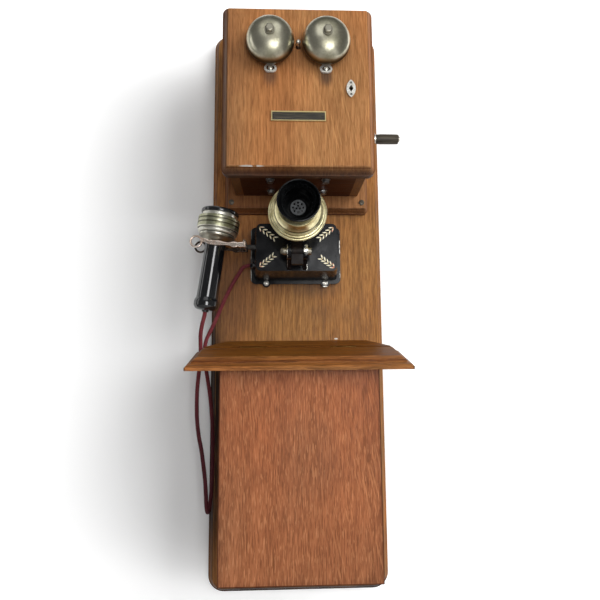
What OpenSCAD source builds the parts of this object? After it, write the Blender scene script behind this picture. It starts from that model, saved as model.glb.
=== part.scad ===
// Two-box magneto wall telephone: backboard, bell box with a hand-cranked generator,
// cast-iron transmitter base with receiver hook, battery box under a sloping writing shelf.
// Millimetres. The wall is the plane Y = 0, the front looks along -Y, +Z is up, and the
// origin is the middle of the wall screw pattern on the back of the board.

/* [Backboard] */
// Width of the backboard
board_w = 254; // [244:1:270]
// Height of the backboard
board_h = 832; // [815:1:860]
// Thickness of the backboard
board_t = 20; // [16:1:26]
// Corner radius of the backboard
board_r = 22; // [16:1:30]
// Width of the moulded edge of the backboard
board_edge_w = 8; // [5:0.5:12]
// Depth of the moulded edge of the backboard
board_edge_d = 9; // [5:0.5:12]
// Distance across between the wall screws
wall_screw_dx = 140; // [136:1:144]
// Distance up and down between the wall screws
wall_screw_dz = 680; // [670:1:690]
// Radius of a wall screw hole
wall_screw_r = 2.75; // [2:0.25:3.5]

/* [Magneto box] */
// Height of the middle of the box above the middle of the board
magneto_z = 257; // [250:1:260]
// Width of the back panel
panel_w = 215; // [210:1:222]
// Height of the back panel
panel_h = 270; // [264:1:282]
// Thickness of the back panel
panel_t = 16; // [13:0.5:20]
// Corner radius of the back panel
panel_r = 7; // [7:0.5:12]
// Width of the ogee edge of the back panel
panel_edge_w = 6.5; // [4:0.5:6.5]
// Depth of the ogee edge of the back panel
panel_edge_d = 10; // [6:0.5:12]
// Outer width of the box
box_w = 180; // [174:1:186]
// Outer height of the box
box_h = 221; // [214:1:228]
// Depth of the box sides
box_d = 82; // [80:1:95]
// Thickness of the box sides, top and bottom
box_wall = 12; // [9:0.5:14]
// Width of the door
door_w = 199; // [194:1:205]
// Height of the door
door_h = 231; // [222:1:238]
// Thickness of the door
door_t = 20; // [16:1:24]
// Corner radius of the door
door_r = 10; // [9.5:0.5:14]
// Width of the ogee edge of the door
door_edge_w = 9; // [6:0.5:9]
// Depth of the ogee edge of the door
door_edge_d = 11; // [7:0.5:13]
// Gap between the closed door and the box
door_gap = 0.6; // [0.4:0.1:1.2]

/* [Hinges] */
// Length of a door hinge
door_hinge_len = 42; // [30:1:54]
// Distance of a door hinge from the middle of the door
door_hinge_dz = 72; // [50:1:80]
// Barrel radius of a door hinge
door_barrel_r = 3; // [2.4:0.1:3.6]
// Leaf width of a door hinge from its axis
door_leaf_w = 13; // [10:0.5:14]
// Length of a lid hinge
lid_hinge_len = 36; // [24:1:50]
// Distance of a lid hinge from the middle of the lid
lid_hinge_dx = 62; // [40:1:66]
// Barrel radius of a lid hinge
lid_barrel_r = 2.2; // [1.8:0.1:2.3]
// Leaf width of a lid hinge from its axis
lid_leaf_w = 8; // [6:0.5:9]
// Thickness of the hinge leaves
leaf_t = 1.3; // [1:0.1:1.6]
// Radius of the hinge pins
hinge_pin_r = 1.1; // [0.8:0.05:1.3]

/* [Bells] */
// Diameter of a gong
gong_dia = 62; // [56:1:64]
// Height of a gong
gong_h = 22; // [18:1:26]
// Wall of a gong
gong_wall = 1.6; // [1:0.1:2.2]
// Distance between the gong centres
gong_dx = 72; // [71:0.5:76]
// Height of the gongs above the middle of the door
gong_up = 55; // [52:1:58]
// Distance of a gong's rim from the door
gong_stand = 8.5; // [7:0.5:11]
// Width of a gong bracket
bracket_w = 9; // [8:0.5:11]
// Width of the bracket's slotted end
bracket_end_w = 16; // [14:0.5:18]
// Height of the bracket's slotted end
bracket_end_h = 10.5; // [10:0.25:12]
// Thickness of a gong bracket
bracket_t = 2.4; // [1.6:0.1:3]
// Height of the bracket's slotted end below the gong centre
bracket_drop = 32; // [31:0.5:36]
// Radius of the clapper ball
ball_r = 3; // [2.6:0.1:3]
// Height of the clapper shaft above the middle of the door
clapper_up = 33; // [32:0.5:35]
// Height of the clapper ball above its shaft
ball_up = 20.8; // [19:0.1:21.5]
// Radius of the clapper shaft
clapper_shaft_r = 1.5; // [1.2:0.1:1.8]
// Height of a ringer coil
coil_h = 36; // [30:1:36]
// Radius of a ringer coil
coil_r = 9.5; // [7:0.5:10]
// Distance between the ringer coils
coil_dx = 36; // [30:1:40]

/* [Door fittings] */
// Distance of the keyhole from the inside of the box
key_in = 10; // [8:0.5:14]
// Height of the keyhole above the middle of the door
key_up = -3; // [-12:0.5:6]
// Width of the keyhole escutcheon
escutcheon_w = 12; // [10:0.5:16]
// Height of the keyhole escutcheon
escutcheon_h = 24; // [22:0.5:30]
// Width of the lock body
lock_w = 22; // [18:1:22]
// Height of the lock body
lock_h = 34; // [28:1:44]
// Thickness of the lock body
lock_t = 9; // [7:0.5:10]
// Travel of the lock bolt
bolt_travel = 6; // [3:0.5:6]
// Width of the nameplate
plate_w = 70; // [50:1:90]
// Height of the nameplate
plate_h = 13; // [9:0.5:18]
// Height of the nameplate above the middle of the door
plate_up = -41; // [-50:0.5:-34]

/* [Generator and crank] */
// Distance from the back panel to the middle of the generator
gen_back = 44; // [42:0.5:46]
// Height of the crank shaft above the box floor
crank_up = 96; // [92:0.5:100]
// Radius of the crank shaft
shaft_r = 4; // [3:0.1:4.4]
// Radius of the crank's turn
crank_r = 40; // [36:0.5:40]
// Outward bow of the crank arm
crank_bow = 13; // [11:0.5:20]
// Length of the crank handle
handle_len = 32; // [26:1:45]
// Diameter of the crank handle
handle_dia = 13.8; // [11:0.2:14]
// Gear module
gear_module = 1; // [0.9:0.02:1.02]
// Teeth of the drive gear
gear_teeth = 60; // [56:4:60]
// Teeth of the armature pinion
pinion_teeth = 15; // [14:1:15]
// Face width of the drive gear
gear_w = 6; // [4:0.5:7]
// Radius of the armature
armature_r = 18; // [15:0.5:18]
// Width of one horseshoe magnet
magnet_w = 17; // [12:0.5:17.5]
// Thickness of a horseshoe magnet
magnet_t = 9; // [6:0.5:10]
// Distance across between the generator bolts
gen_bolt_dx = 75; // [74:1:84]
// Distance front to back between the generator bolts
gen_bolt_dy = 44; // [38:1:48]

/* [Transmitter] */
// Distance of the transmitter base right of the middle of the board
base_x = -2; // [-4:0.5:4]
// Gap between the back panel and the base flange
base_gap = 21; // [19:0.5:23]
// Width of the base flange
flange_w = 133; // [126:1:136]
// Height of the base flange
flange_h = 85; // [82:0.5:87]
// Thickness of the base flange
flange_t = 6; // [4:0.5:8]
// Width of the base at its flange
base_w0 = 123; // [118:1:124]
// Height of the base at its flange
base_h0 = 75; // [73:0.5:77]
// Width of the base at its front face
base_w1 = 110; // [106:1:114]
// Height of the base at its front face
base_h1 = 65.5; // [63:0.5:69]
// Depth of the base
base_d = 62; // [60:0.5:65]
// Wall of the base casting
base_wall = 4; // [3:0.25:5]
// Distance of the transmitter pivot from the base's front face
pivot_out = 23; // [22:0.5:25]
// Height of the transmitter pivot above the middle of the base
pivot_up = -10.5; // [-12:0.5:-9]
// Radius of the pivot bolt
pivot_r = 3; // [2.5:0.1:3.5]
// Width of the transmitter arm
arm_w = 15; // [12:0.5:17]
// Thickness of a cheek of the base
cheek_t = 5.5; // [4:0.5:6.5]
// Height of the transmitter's axis above its pivot
tx_up = 42.6; // [42:0.1:44]
// Distance of the transmitter cup's back in front of the pivot
tx_out = 5; // [4:0.5:8]
// Depth of the transmitter cup
cup_d = 25; // [22:0.5:28]
// Radius of the transmitter face
face_r = 37; // [35:0.5:38]
// Depth of the ringed transmitter face
face_d = 24; // [22:0.5:27]
// Radius of the mouthpiece rim
mouth_r = 25.7; // [24:0.1:27]
// Length of the mouthpiece in front of the face
mouth_len = 25; // [22:0.5:28]

/* [Receiver and hook] */
// Distance of the receiver's neck left of the middle of the board
neck_x = 113.5; // [111:0.5:116]
// Height of the hook above the middle of the base
hook_up = 5.5; // [4:0.5:7]
// Distance of the receiver's axis in front of the board
neck_out = 50; // [48:0.5:54]
// Lean of the receiver in degrees
lean = 8; // [5:0.5:10]
// Radius of the receiver's neck
neck_r = 14.3; // [13:0.1:14.4]
// Length of the receiver handle with its bead
grip_len = 97; // [90:0.5:98]
// Radius of the receiver's bead
bead_r = 16.9; // [16.2:0.1:18]
// Radius of the receiver cup
drum_r = 28.5; // [27:0.5:30]
// Radius of the ear cap
cap_r = 26; // [24.5:0.25:27]
// Height of the hook bar
hook_h = 7; // [5:0.25:8]
// Thickness of the hook prongs
prong_t = 3.2; // [2.4:0.1:3.6]
// Distance of the prong rings left of the receiver's neck
ring_out = 24; // [22:0.5:27]
// Outer radius of a prong ring
ring_r = 8.75; // [7.5:0.25:9]
// Radius of the hook's pivot stud
stud_r = 3; // [2.4:0.1:3.6]

/* [Shelf and battery box] */
// Distance of the shelf's rear edge below the middle of the base
shelf_drop = 126; // [122:0.5:130]
// Slope of the shelf in degrees
shelf_slope = 12.7; // [10:0.1:14]
// Distance of the lid's hinge line in front of the board
lid_hinge_out = 38; // [36:0.5:42]
// Width of the flat top of the lid
lid_w = 258; // [250:1:264]
// Depth of the flat top of the lid along the slope
lid_flat = 58; // [54:0.5:64]
// Width of the moulding at the lid's sides
lid_side_w = 12; // [8:0.5:15]
// Width of the moulding at the lid's front
lid_front_w = 20; // [14:0.5:26]
// Thickness of the shelf
lid_t = 13; // [12:0.5:16]
// Width of the fixed strip at the board
strip_w = 202; // [200:1:210]
// Outer width of the battery box
battery_w = 200; // [190:1:202]
// Depth of the battery box with its front panel
battery_d = 96; // [92:0.5:98]
// Height of the battery box above the lower edge of the board
battery_up = 55; // [50:1:64]
// Thickness of the battery box walls
battery_wall = 12; // [9:0.5:13]
// Radius of a dry cell
cell_r = 32; // [28:0.5:32.5]
// Height of a dry cell
cell_h = 155; // [140:1:170]

/* [Screws] */
// Head radius of a wood screw
screw_head_r = 4; // [3.2:0.1:4.6]
// Shank radius of a wood screw
screw_r = 1.75; // [1.4:0.05:2]
// Depth of a wood screw in the board
screw_bite = 12; // [8:0.5:14]

/* [Hidden] */

// Facets of turned and drilled shapes, clearances and small shared sizes
$fn = 64;
fit = 0.05;
gap = 0.3;
seat = 0.4;
eps = 1;

// Planes from the wall outwards
y_board = -board_t;
y_panel = y_board - panel_t;
y_case = y_panel - box_d;
y_door = y_case - door_gap;
y_face = y_door - door_t;

// Magneto box
box_x = box_w / 2;
box_in = box_x - box_wall;
box_z0 = magneto_z - box_h / 2;
box_floor = box_z0 + box_wall;
door_hinge_x = -box_x - door_barrel_r - door_gap;
door_hinge_y = y_case - door_gap / 2;
panel_screw_x = panel_w / 2 - panel_edge_w - screw_head_r - 0.5;
panel_screw_dz = panel_h / 2 - panel_edge_w - screw_head_r - 4;

// Bells and ringer
gong_r = gong_dia / 2;
gong_z = magneto_z + gong_up;
gong_screw_r = 2;
gong_washer_r = 6.5;
post_r = 5.5;
crown = 0.992;
clapper_z = magneto_z + clapper_up;
ball_y = y_face - gong_stand - ball_r / 2;
frame_t = 3;
ringer_y = y_door + frame_t + seat + coil_r + 3;
rod_r = 1.2;
rod_hole_r = rod_r + ball_up * sin(5) + seat;
armature_bar_h = 6;
armature_bar_w = 8;
coil_foot = clapper_z + armature_bar_h / 2 + 3;
yoke_z = coil_foot + coil_h + 6;
yoke_back = ringer_y + coil_r + 2;
magnet_bar_t = 6;

// Lock
key_x = box_in - key_in;
lock_x = box_in - 3;
lock_z = magneto_z + key_up;
bolt_h = 8;
bolt_t = 5;
bolt_y = y_door + lock_t / 2;
bolt_tail = 8;

// Generator
gen_y = y_panel - gen_back;
crank_z = box_floor + crank_up;
gear_r = gear_module * gear_teeth / 2;
pinion_r = gear_module * pinion_teeth / 2;
armature_z = crank_z - gear_r - pinion_r;
frame_foot = 6;
magnet_gap = 1.5;
magnets_x = (3 * magnet_w + 2 * magnet_gap) / 2;
plate_t = 4;
plate_x = magnets_x + 1;
pole_r = armature_r + 0.6;
pole_out = pole_r + 5;
pole_up = armature_r + 4;
magnet_top_z = crank_z + shaft_r + 5 - pole_out;
gear_x = plate_x + plate_t + 6;
journal_r = 4;
gen_bolt_r = 2.5;
bush_r = shaft_r + 3;
bush_flange_t = 2;
hub_x = box_x + bush_flange_t + gap;
hub_w = 7;
hub_r = 8;
arm_t = 4;
boss_r = 6;
boss_w = 5;
boss_x = hub_x + crank_bow;
handle_x = boss_x + boss_w + gap;
handle_pin_r = 2.5;

// Transmitter
base_z = magneto_z - panel_h / 2 - base_gap - flange_h / 2;
y_base = y_board - base_d;
pivot_y = y_base - pivot_out;
pivot_z = base_z + pivot_up;
tx_z = pivot_z + tx_up;
cup_y = pivot_y - tx_out;
face_y = cup_y - cup_d;
mouth_y = face_y - face_d;
mouth_neck_r = 14;
grille_back = 5;
cheek_x = arm_w / 2 + 0.5;
base_corner_r = 7;
lug_dx = 43.5;
lug_r = 6;
lug_z = flange_h / 2 - 1;

// Receiver and hook
hook_z = base_z + hook_up;
neck_y = y_board - neck_out;
neck_z = hook_z + hook_h / 2 - 0.4;
prong_in = neck_r + 0.9;
stud_x = base_x - base_w1 / 2 + 22;
lever_y = y_board - neck_out + prong_in - 2;
lever_t = 4;
hook_swing = 12;
yoke_x = base_x - flange_w / 2 - 2;
lever_tail = 22;
stud_shoulder = neck_out - prong_in - lever_t / 2 - 3;
gland_z = base_z - 16.5;
gland_y = y_board - 14;
gland_r = 4;
gland_len = 5;
hook_slot_z1 = (stud_x - base_x + base_w0 / 2) * tan(hook_swing);

// Shelf and battery box
shelf_z = base_z - shelf_drop;
battery_z = battery_up - board_h / 2;
lid_axis_drop = 2.5;
lid_chamfer = lid_axis_drop * 2.2;
lid_hinge_z = shelf_z - lid_hinge_out * tan(shelf_slope);
under_z = shelf_z - lid_t / cos(shelf_slope);
battery_floor = battery_z + battery_wall;
panel_in = battery_d - battery_wall;
cell_x = cell_r + 2;
cell_out = cell_r + 12;

// Receiver cord, measured from the middle of the base on the board: from the tail of the receiver
// down past the shelf, round its loop and up to the gland
cord_r = 2.75;
cord_sides = 8;
cord_route = [
    [-127.5, -49, -99], [-130, -46, -108], [-132, -41, -118], [-133, -35, -130], [-133.5, -30.5, -144],
    [-135, -29, -162], [-137.5, -30, -195], [-137, -31, -230], [-134, -32, -254], [-130, -32, -274],
    [-127, -32, -294], [-124.5, -32, -314], [-123, -32, -334], [-122.5, -31, -346], [-122, -26.5, -355],
    [-121.5, -20, -358], [-121, -13.5, -355], [-120.5, -9, -346], [-119.5, -8, -332], [-118.5, -8, -300],
    [-119, -8, -255], [-122, -8, -214], [-126, -8, -186], [-130, -9, -162], [-132, -9, -144],
    [-130.5, -9, -128], [-125.5, -9, -115], [-118, -9, -99], [-109.5, -9, -79], [-100.5, -10, -59],
    [-90.5, -11.5, -40], [-84.5, -12.5, -30.5], [-79.5, -13.5, -22.5], [-77, -14, -19.5], [-73, -14, -17.5]
];

function wall_screw_places(y) = [for (sx = [-1, 1], sz = [-1, 1])
    [sx * wall_screw_dx / 2, y, sz * wall_screw_dz / 2]];

function panel_screw_places() = [for (sx = [-1, 1], sz = [-1, 1])
    [sx * panel_screw_x, y_panel, magneto_z + sz * panel_screw_dz]];

function base_screw_places() = [for (sx = [-1, 1], sz = [-1, 1])
    [base_x + sx * lug_dx, y_board - flange_t, base_z + sz * lug_z]];

// Cyma curve: convex at the top, hollow at the foot, with a small step above it
function ogee(w, d) = [for (i = [0:8]) [w * i / 8, 0.9 * d * (1 + cos(22.5 * i)) / 2]];

// Quarter of a superellipse from the rim of a gong to its crown
function dome(r, h) = [for (a = [0:7.5:90]) [r * pow(cos(a), 0.8), h * pow(sin(a), 0.9)]];

// Straight-sided teeth, each wider at its root than at its tip
tooth = [[-0.27, -1.1], [-0.11, 0.85], [0.11, 0.85], [0.27, -1.1]];

function gear_outline(teeth, m) = [for (i = [0:teeth - 1], k = tooth)
    let (a = (i + k[0]) * 360 / teeth, r = m * (teeth / 2 + k[1])) [r * sin(a), r * cos(a)]];

function unit(v) = v / norm(v);

// Direction of the route at one of its points
function heading(path, i) = unit(path[min(i + 1, len(path) - 1)] - path[max(i - 1, 0)]);

// Local +Z looks out of the wall
module forward() {
    rotate([90, 0, 0]) children();
}

// Local +Z runs to the right
module rightward() {
    rotate([0, 90, 0]) children();
}

// Frame of the shelf: X along the hinge line, -Y down the slope, Z square to its top
module on_shelf() {
    translate([0, y_board - lid_hinge_out, lid_hinge_z]) rotate([shelf_slope, 0, 0]) children();
}

// Frame of the receiver: Z along its axis, with the neck on the hook at Z = 0
module on_receiver() {
    translate([-neck_x, neck_y, neck_z]) rotate([0, lean, 0]) children();
}

module rounded(w, h, r) {
    square([w - 2 * r, h], center = true);
    square([w, h - 2 * r], center = true);
    for (sx = [-1, 1], sy = [-1, 1]) translate([sx * (w / 2 - r), sy * (h / 2 - r)]) circle(r);
}

// Flat slab with rounded corners and an ogee moulding round its front
module moulded_slab(w, h, t, r, edge_w, edge_d) {
    linear_extrude(t - edge_d) rounded(w, h, r);
    linear_extrude(t) rounded(w - 2 * edge_w, h - 2 * edge_w, r - edge_w);
    translate([0, 0, t - edge_d]) for (k = [0:3]) rotate(90 * k) {
        run = (k % 2 == 0 ? w : h) - 2 * r;
        reach = (k % 2 == 0 ? h : w) / 2;
        translate([-run / 2, reach - edge_w, 0]) rotate([90, 0, 90]) linear_extrude(run)
            polygon(concat([[0, 0]], ogee(edge_w, edge_d)));
        translate([run / 2, reach - r, 0]) rotate_extrude(angle = 90) translate([r - edge_w, 0])
            polygon(concat([[0, 0]], ogee(edge_w, edge_d)));
    }
}

module holes(places, r, depth) {
    for (p = places) translate(p + [0, eps, 0]) forward() translate([0, 0, -depth])
        cylinder(r = r, h = depth + 2 * eps);
}

// Domed slotted wood screw: head above Z = 0, shank below
module wood_screw(shank, head = screw_head_r) {
    difference() {
        union() {
            intersection() {
                cylinder(r = head, h = head);
                translate([0, 0, -head * 1.4]) sphere(head * 1.95);
            }
            translate([0, 0, -shank]) cylinder(r = screw_r, h = shank + 0.5);
        }
        translate([-head, -0.5, head * 0.3]) cube([2 * head, 1, head]);
    }
}

// One leaf of a butt hinge. Its axis is Z, the joint is the plane Y = 0 and the leaf runs along +X.
// The fixed leaf lies behind the joint and has the two outer knuckles, the moving one the middle knuckle.
module hinge_leaf(length, w, barrel_r, joint, moving) {
    third = length / 3;
    mine = moving ? [0] : [-third, third];
    theirs = moving ? [-third, third] : [0];
    difference() {
        union() {
            translate([0, moving ? -joint / 2 - leaf_t : joint / 2, -length / 2]) cube([w, leaf_t, length]);
            for (z = mine) translate([0, 0, z]) cylinder(r = barrel_r, h = third - gap, center = true);
        }
        for (z = theirs) translate([0, 0, z]) cylinder(r = barrel_r + gap, h = third + gap, center = true);
        cylinder(r = hinge_pin_r + fit, h = length + eps, center = true);
    }
}

module door_hinge_places() {
    for (s = [-1, 1]) translate([door_hinge_x, door_hinge_y, magneto_z + s * door_hinge_dz]) children();
}

module lid_hinge_places() {
    for (s = [-1, 1]) on_shelf() translate([s * lid_hinge_dx, 0, -lid_axis_drop]) rightward() children();
}

// Room for a hinge in the wood on one side of the joint
module hinge_room(length, w, barrel_r, joint, side) {
    y0 = side > 0 ? joint / 2 - eps : -joint / 2 - leaf_t - fit;
    translate([0, y0, -length / 2 - gap]) cube([w + gap, leaf_t + fit + eps, length + 2 * gap]);
    cylinder(r = barrel_r + seat, h = length + 2 * gap, center = true);
}

module backboard() {
    color("peru") difference() {
        forward() moulded_slab(board_w, board_h, board_t, board_r, board_edge_w, board_edge_d);
        holes(wall_screw_places(y_board), wall_screw_r, board_t + eps);
        holes(panel_screw_places(), screw_r + fit, panel_t + screw_bite);
        holes(base_screw_places(), screw_r + fit, flange_t + screw_bite);
    }
}

module magneto_back_panel() {
    color("sienna") difference() {
        translate([0, y_board, magneto_z]) forward()
            moulded_slab(panel_w, panel_h, panel_t, panel_r, panel_edge_w, panel_edge_d);
        holes(wall_screw_places(y_panel), wall_screw_r, panel_t + eps);
        holes(panel_screw_places(), screw_r + fit, panel_t + eps);
    }
}

module magneto_side(s) {
    translate([s > 0 ? box_in : -box_x, y_case, box_z0]) cube([box_wall, box_d, box_h]);
}

module magneto_left_side() {
    color("sienna") difference() {
        magneto_side(-1);
        door_hinge_places() hinge_room(door_hinge_len, door_leaf_w, door_barrel_r, door_gap, 1);
    }
}

module magneto_right_side() {
    color("sienna") difference() {
        magneto_side(1);
        translate([box_in - eps, gen_y, crank_z]) rightward()
            cylinder(r = bush_r + fit, h = box_wall + 2 * eps);
        translate([box_in - eps, bolt_y - bolt_t / 2 - eps, lock_z - bolt_h / 2 - eps])
            cube([bolt_travel + eps, bolt_t + 2 * eps, bolt_h + 2 * eps]);
    }
}

module magneto_top() {
    color("sienna") translate([-box_in, y_case, box_z0 + box_h - box_wall])
        cube([2 * box_in, box_d, box_wall]);
}

module gen_bolt_places() {
    for (sx = [-1, 1], sy = [-1, 1])
        translate([sx * gen_bolt_dx / 2, gen_y + sy * gen_bolt_dy / 2, 0]) children();
}

module magneto_bottom() {
    color("sienna") difference() {
        translate([-box_in, y_case, box_z0]) cube([2 * box_in, box_d, box_wall]);
        gen_bolt_places() translate([0, 0, box_z0 - eps])
            cylinder(r = gen_bolt_r + fit, h = box_wall + 2 * eps);
    }
}

module case_screws() {
    color("silver") {
        for (p = panel_screw_places()) translate(p) forward() wood_screw(panel_t + screw_bite - eps);
        for (p = base_screw_places()) translate(p) forward() wood_screw(flange_t + screw_bite - eps);
    }
}

module hinge_case_leaves() {
    color("goldenrod") {
        door_hinge_places() hinge_leaf(door_hinge_len, door_leaf_w, door_barrel_r, door_gap, false);
        lid_hinge_places() hinge_leaf(lid_hinge_len, lid_leaf_w, lid_barrel_r, door_gap, false);
    }
}

module hinge_pins() {
    color("gray") {
        door_hinge_places() cylinder(r = hinge_pin_r, h = door_hinge_len, center = true);
        lid_hinge_places() cylinder(r = hinge_pin_r, h = lid_hinge_len, center = true);
    }
}

// Base plate with two standing end plates, which carry the armature and the crank shaft
module generator_frame() {
    foot_x = gen_bolt_dx / 2 + 8;
    foot_y = gen_bolt_dy / 2 + 8;
    plate_y = pole_out + 3;
    color("goldenrod") difference() {
        union() {
            translate([-foot_x, gen_y - foot_y, box_floor]) cube([2 * foot_x, 2 * foot_y, frame_foot]);
            for (x = [-plate_x - plate_t, plate_x])
                translate([x, gen_y - plate_y, box_floor])
                    cube([plate_t, 2 * plate_y, crank_z + shaft_r + 5 - box_floor]);
        }
        gen_bolt_places() translate([0, 0, box_floor - eps])
            cylinder(r = gen_bolt_r + fit, h = frame_foot + 2 * eps);
        translate([0, gen_y, armature_z]) rightward()
            cylinder(r = journal_r + fit, h = 4 * plate_x, center = true);
        translate([0, gen_y, crank_z]) rightward()
            cylinder(r = shaft_r + fit, h = 4 * plate_x, center = true);
    }
}

module generator_poles() {
    color("dimgray") difference() {
        translate([-plate_x, gen_y - pole_out, armature_z - pole_up])
            cube([2 * plate_x, 2 * pole_out, 2 * pole_up]);
        translate([0, gen_y, armature_z]) rightward() cylinder(r = pole_r, h = 4 * plate_x, center = true);
        translate([-2 * plate_x, gen_y - armature_r / 2, armature_z - 2 * pole_up])
            cube([4 * plate_x, armature_r, 4 * pole_up]);
    }
}

// Outline of one horseshoe, seen along the crank shaft
module horseshoe() {
    leg = magnet_top_z - armature_z + pole_up;
    for (s = [-1, 1]) translate([s * (pole_out + magnet_t / 2), magnet_top_z - leg / 2])
        square([magnet_t, leg], center = true);
    intersection() {
        translate([0, magnet_top_z]) difference() {
            circle(pole_out + magnet_t);
            circle(pole_out);
        }
        translate([-2 * pole_out, magnet_top_z]) square([4 * pole_out, 2 * pole_out + magnet_t]);
    }
}

module generator_magnets() {
    color("firebrick") for (k = [-1:1])
        translate([k * (magnet_w + magnet_gap) - magnet_w / 2, gen_y, 0])
            rotate([90, 0, 90]) linear_extrude(magnet_w) horseshoe();
}

// Hexagon bolts with washers: heads under the box floor, nuts on the base plate
module generator_bolts() {
    nut = 4;
    washer = 1.2;
    color("gray") gen_bolt_places() {
        translate([0, 0, box_z0 - washer]) cylinder(r = 6, h = washer);
        translate([0, 0, box_z0 - washer - nut]) cylinder(r = 4.6, h = nut, $fn = 6);
        translate([0, 0, box_z0 - washer]) cylinder(r = gen_bolt_r, h = washer + box_wall + frame_foot + nut);
        translate([0, 0, box_floor + frame_foot]) cylinder(r = 4.6, h = nut, $fn = 6);
    }
}

module crank_bush() {
    color("goldenrod") translate([0, gen_y, crank_z]) rightward() difference() {
        union() {
            translate([0, 0, box_in]) cylinder(r = bush_r, h = box_wall);
            translate([0, 0, box_x]) cylinder(r = bush_r + 5, h = bush_flange_t);
        }
        translate([0, 0, box_in - eps]) cylinder(r = shaft_r + fit, h = box_wall + bush_flange_t + 2 * eps);
    }
}

// Tapered box with rounded corners, standing on Z = 0
module casting(w0, h0, w1, h1, d, r) {
    hull() for (sx = [-1, 1], sy = [-1, 1]) {
        translate([sx * (w0 / 2 - r), sy * (h0 / 2 - r), 0]) cylinder(r = r, h = 0.01, $fn = 32);
        translate([sx * (w1 / 2 - r), sy * (h1 / 2 - r), d - 0.01]) cylinder(r = r, h = 0.01, $fn = 32);
    }
}

module cheek_outline() {
    foot = base_h1 / 2 - 1;
    polygon([[0, -foot], [0, foot - 20], [pivot_out - 3, pivot_up + 10.6], [pivot_out - 3, pivot_up - 10.6]]);
    translate([pivot_out, pivot_up]) circle(11);
}

// Hollow casting on the board, with lugs, the slot for the hook and two cheeks for the transmitter arm
module transmitter_base() {
    color([0.07, 0.07, 0.08]) difference() {
        union() {
            translate([base_x, y_board, base_z]) forward() difference() {
                union() {
                    linear_extrude(flange_t) {
                        rounded(flange_w, flange_h, base_corner_r + 1);
                        for (sx = [-1, 1], sy = [-1, 1]) translate([sx * lug_dx, sy * lug_z]) circle(lug_r);
                    }
                    translate([0, 0, flange_t])
                        casting(base_w0, base_h0, base_w1, base_h1, base_d - flange_t, base_corner_r);
                }
                translate([0, 0, -eps]) casting(base_w0 - 2 * base_wall, base_h0 - 2 * base_wall,
                    base_w1 - 2 * base_wall, base_h1 - 2 * base_wall, base_d - base_wall + eps,
                    base_corner_r - base_wall / 2);
            }
            for (x = [-cheek_x - cheek_t, cheek_x]) translate([base_x + x, y_base, base_z])
                rotate([90, 0, 90]) linear_extrude(cheek_t) mirror([1, 0]) cheek_outline();
        }
        translate([base_x, pivot_y, pivot_z]) rightward()
            cylinder(r = pivot_r + fit, h = 4 * arm_w, center = true);
        translate([base_x - flange_w / 2, lever_y - lever_t / 2 - eps, hook_z - hook_h / 2 - eps])
            cube([flange_w / 2 - 20, lever_t + 2 * eps, hook_h + hook_slot_z1 + 2 * eps]);
        translate([base_x - flange_w, gland_y, gland_z]) rightward()
            cylinder(r = gland_r + fit, h = flange_w);
        holes(base_screw_places(), screw_r + fit, flange_t + eps);
    }
}

// Bolt through both cheeks, with an acorn nut on the left and a slotted head on the right
module transmitter_pivot_bolt() {
    grip = cheek_x + cheek_t;
    color("silver") translate([base_x, pivot_y, pivot_z]) rightward() difference() {
        union() {
            translate([0, 0, -grip]) cylinder(r = pivot_r, h = 2 * grip);
            translate([0, 0, grip]) cylinder(r = 5.4, h = 5);
            translate([0, 0, -grip - 4]) cylinder(r = 5.4, h = 4);
            translate([0, 0, -grip - 4]) sphere(5);
        }
        translate([-0.6, -6, grip + 3.5]) cube([1.2, 12, 2]);
    }
}

// Spool with two square cheeks that stand on the board
module induction_coil() {
    cheek = 24;
    length = 60;
    x0 = base_x - 24;
    z0 = base_z - base_h1 / 2 + base_wall + 2.5 + cheek / 2;
    color("brown") translate([x0, y_board - cheek / 2, z0]) rightward() {
        for (z = [0, length - 4]) translate([-cheek / 2, -cheek / 2, z]) cube([cheek, cheek, 4]);
        cylinder(r = cheek / 2 - 2, h = length);
    }
}

// Insulating block on the board with three leaf springs over the tail of the hook lever
module hook_contact_springs() {
    block_x = stud_x + lever_tail + 14;
    leaf_x = stud_x + lever_tail / 2;
    rest_z = hook_z + hook_h / 2 - 0.5;
    color("goldenrod") {
        translate([block_x, lever_y - 5, rest_z]) cube([14, y_board - lever_y + 5, 14]);
        for (k = [0:2]) translate([leaf_x, lever_y - 4, rest_z + 2 + 4.5 * k])
            cube([block_x - leaf_x + eps, 8, 0.6]);
    }
}

module hook_pivot_stud() {
    hub = lever_t + 6;
    color("silver") translate([stud_x, y_board, hook_z]) forward() {
        cylinder(r = stud_r + 3, h = stud_shoulder - seat);
        cylinder(r = stud_r, h = stud_shoulder + hub + 3);
        translate([0, 0, stud_shoulder + hub + seat]) cylinder(r = stud_r + 2.5, h = 2.6, $fn = 6);
    }
}

module cord_gland() {
    color([0.1, 0.1, 0.1]) translate([base_x - base_w0 / 2, gland_y, gland_z]) rightward() {
        translate([0, 0, -gland_len]) cylinder(r1 = cord_r + 1.2, r2 = gland_r + 1.5, h = gland_len - 1.5);
        translate([0, 0, -1.5]) cylinder(r = gland_r + 1.5, h = 1.5);
        cylinder(r = gland_r, h = base_wall + 3);
    }
}

// Height of the shelf's underside at a distance in front of the board
function under(d) = under_z - d * tan(shelf_slope);

// Upright slab of the battery box between two distances from the board, with its top under the shelf
module battery_slab(w, d0, d1) {
    rotate([90, 0, 90]) linear_extrude(w)
        polygon([[y_board - d0, battery_z], [y_board - d0, under(d0)],
            [y_board - d1, under(d1)], [y_board - d1, battery_z]]);
}

module battery_left_side() {
    color("saddlebrown") translate([-battery_w / 2, 0, 0]) battery_slab(battery_wall, 0, panel_in);
}

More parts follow.
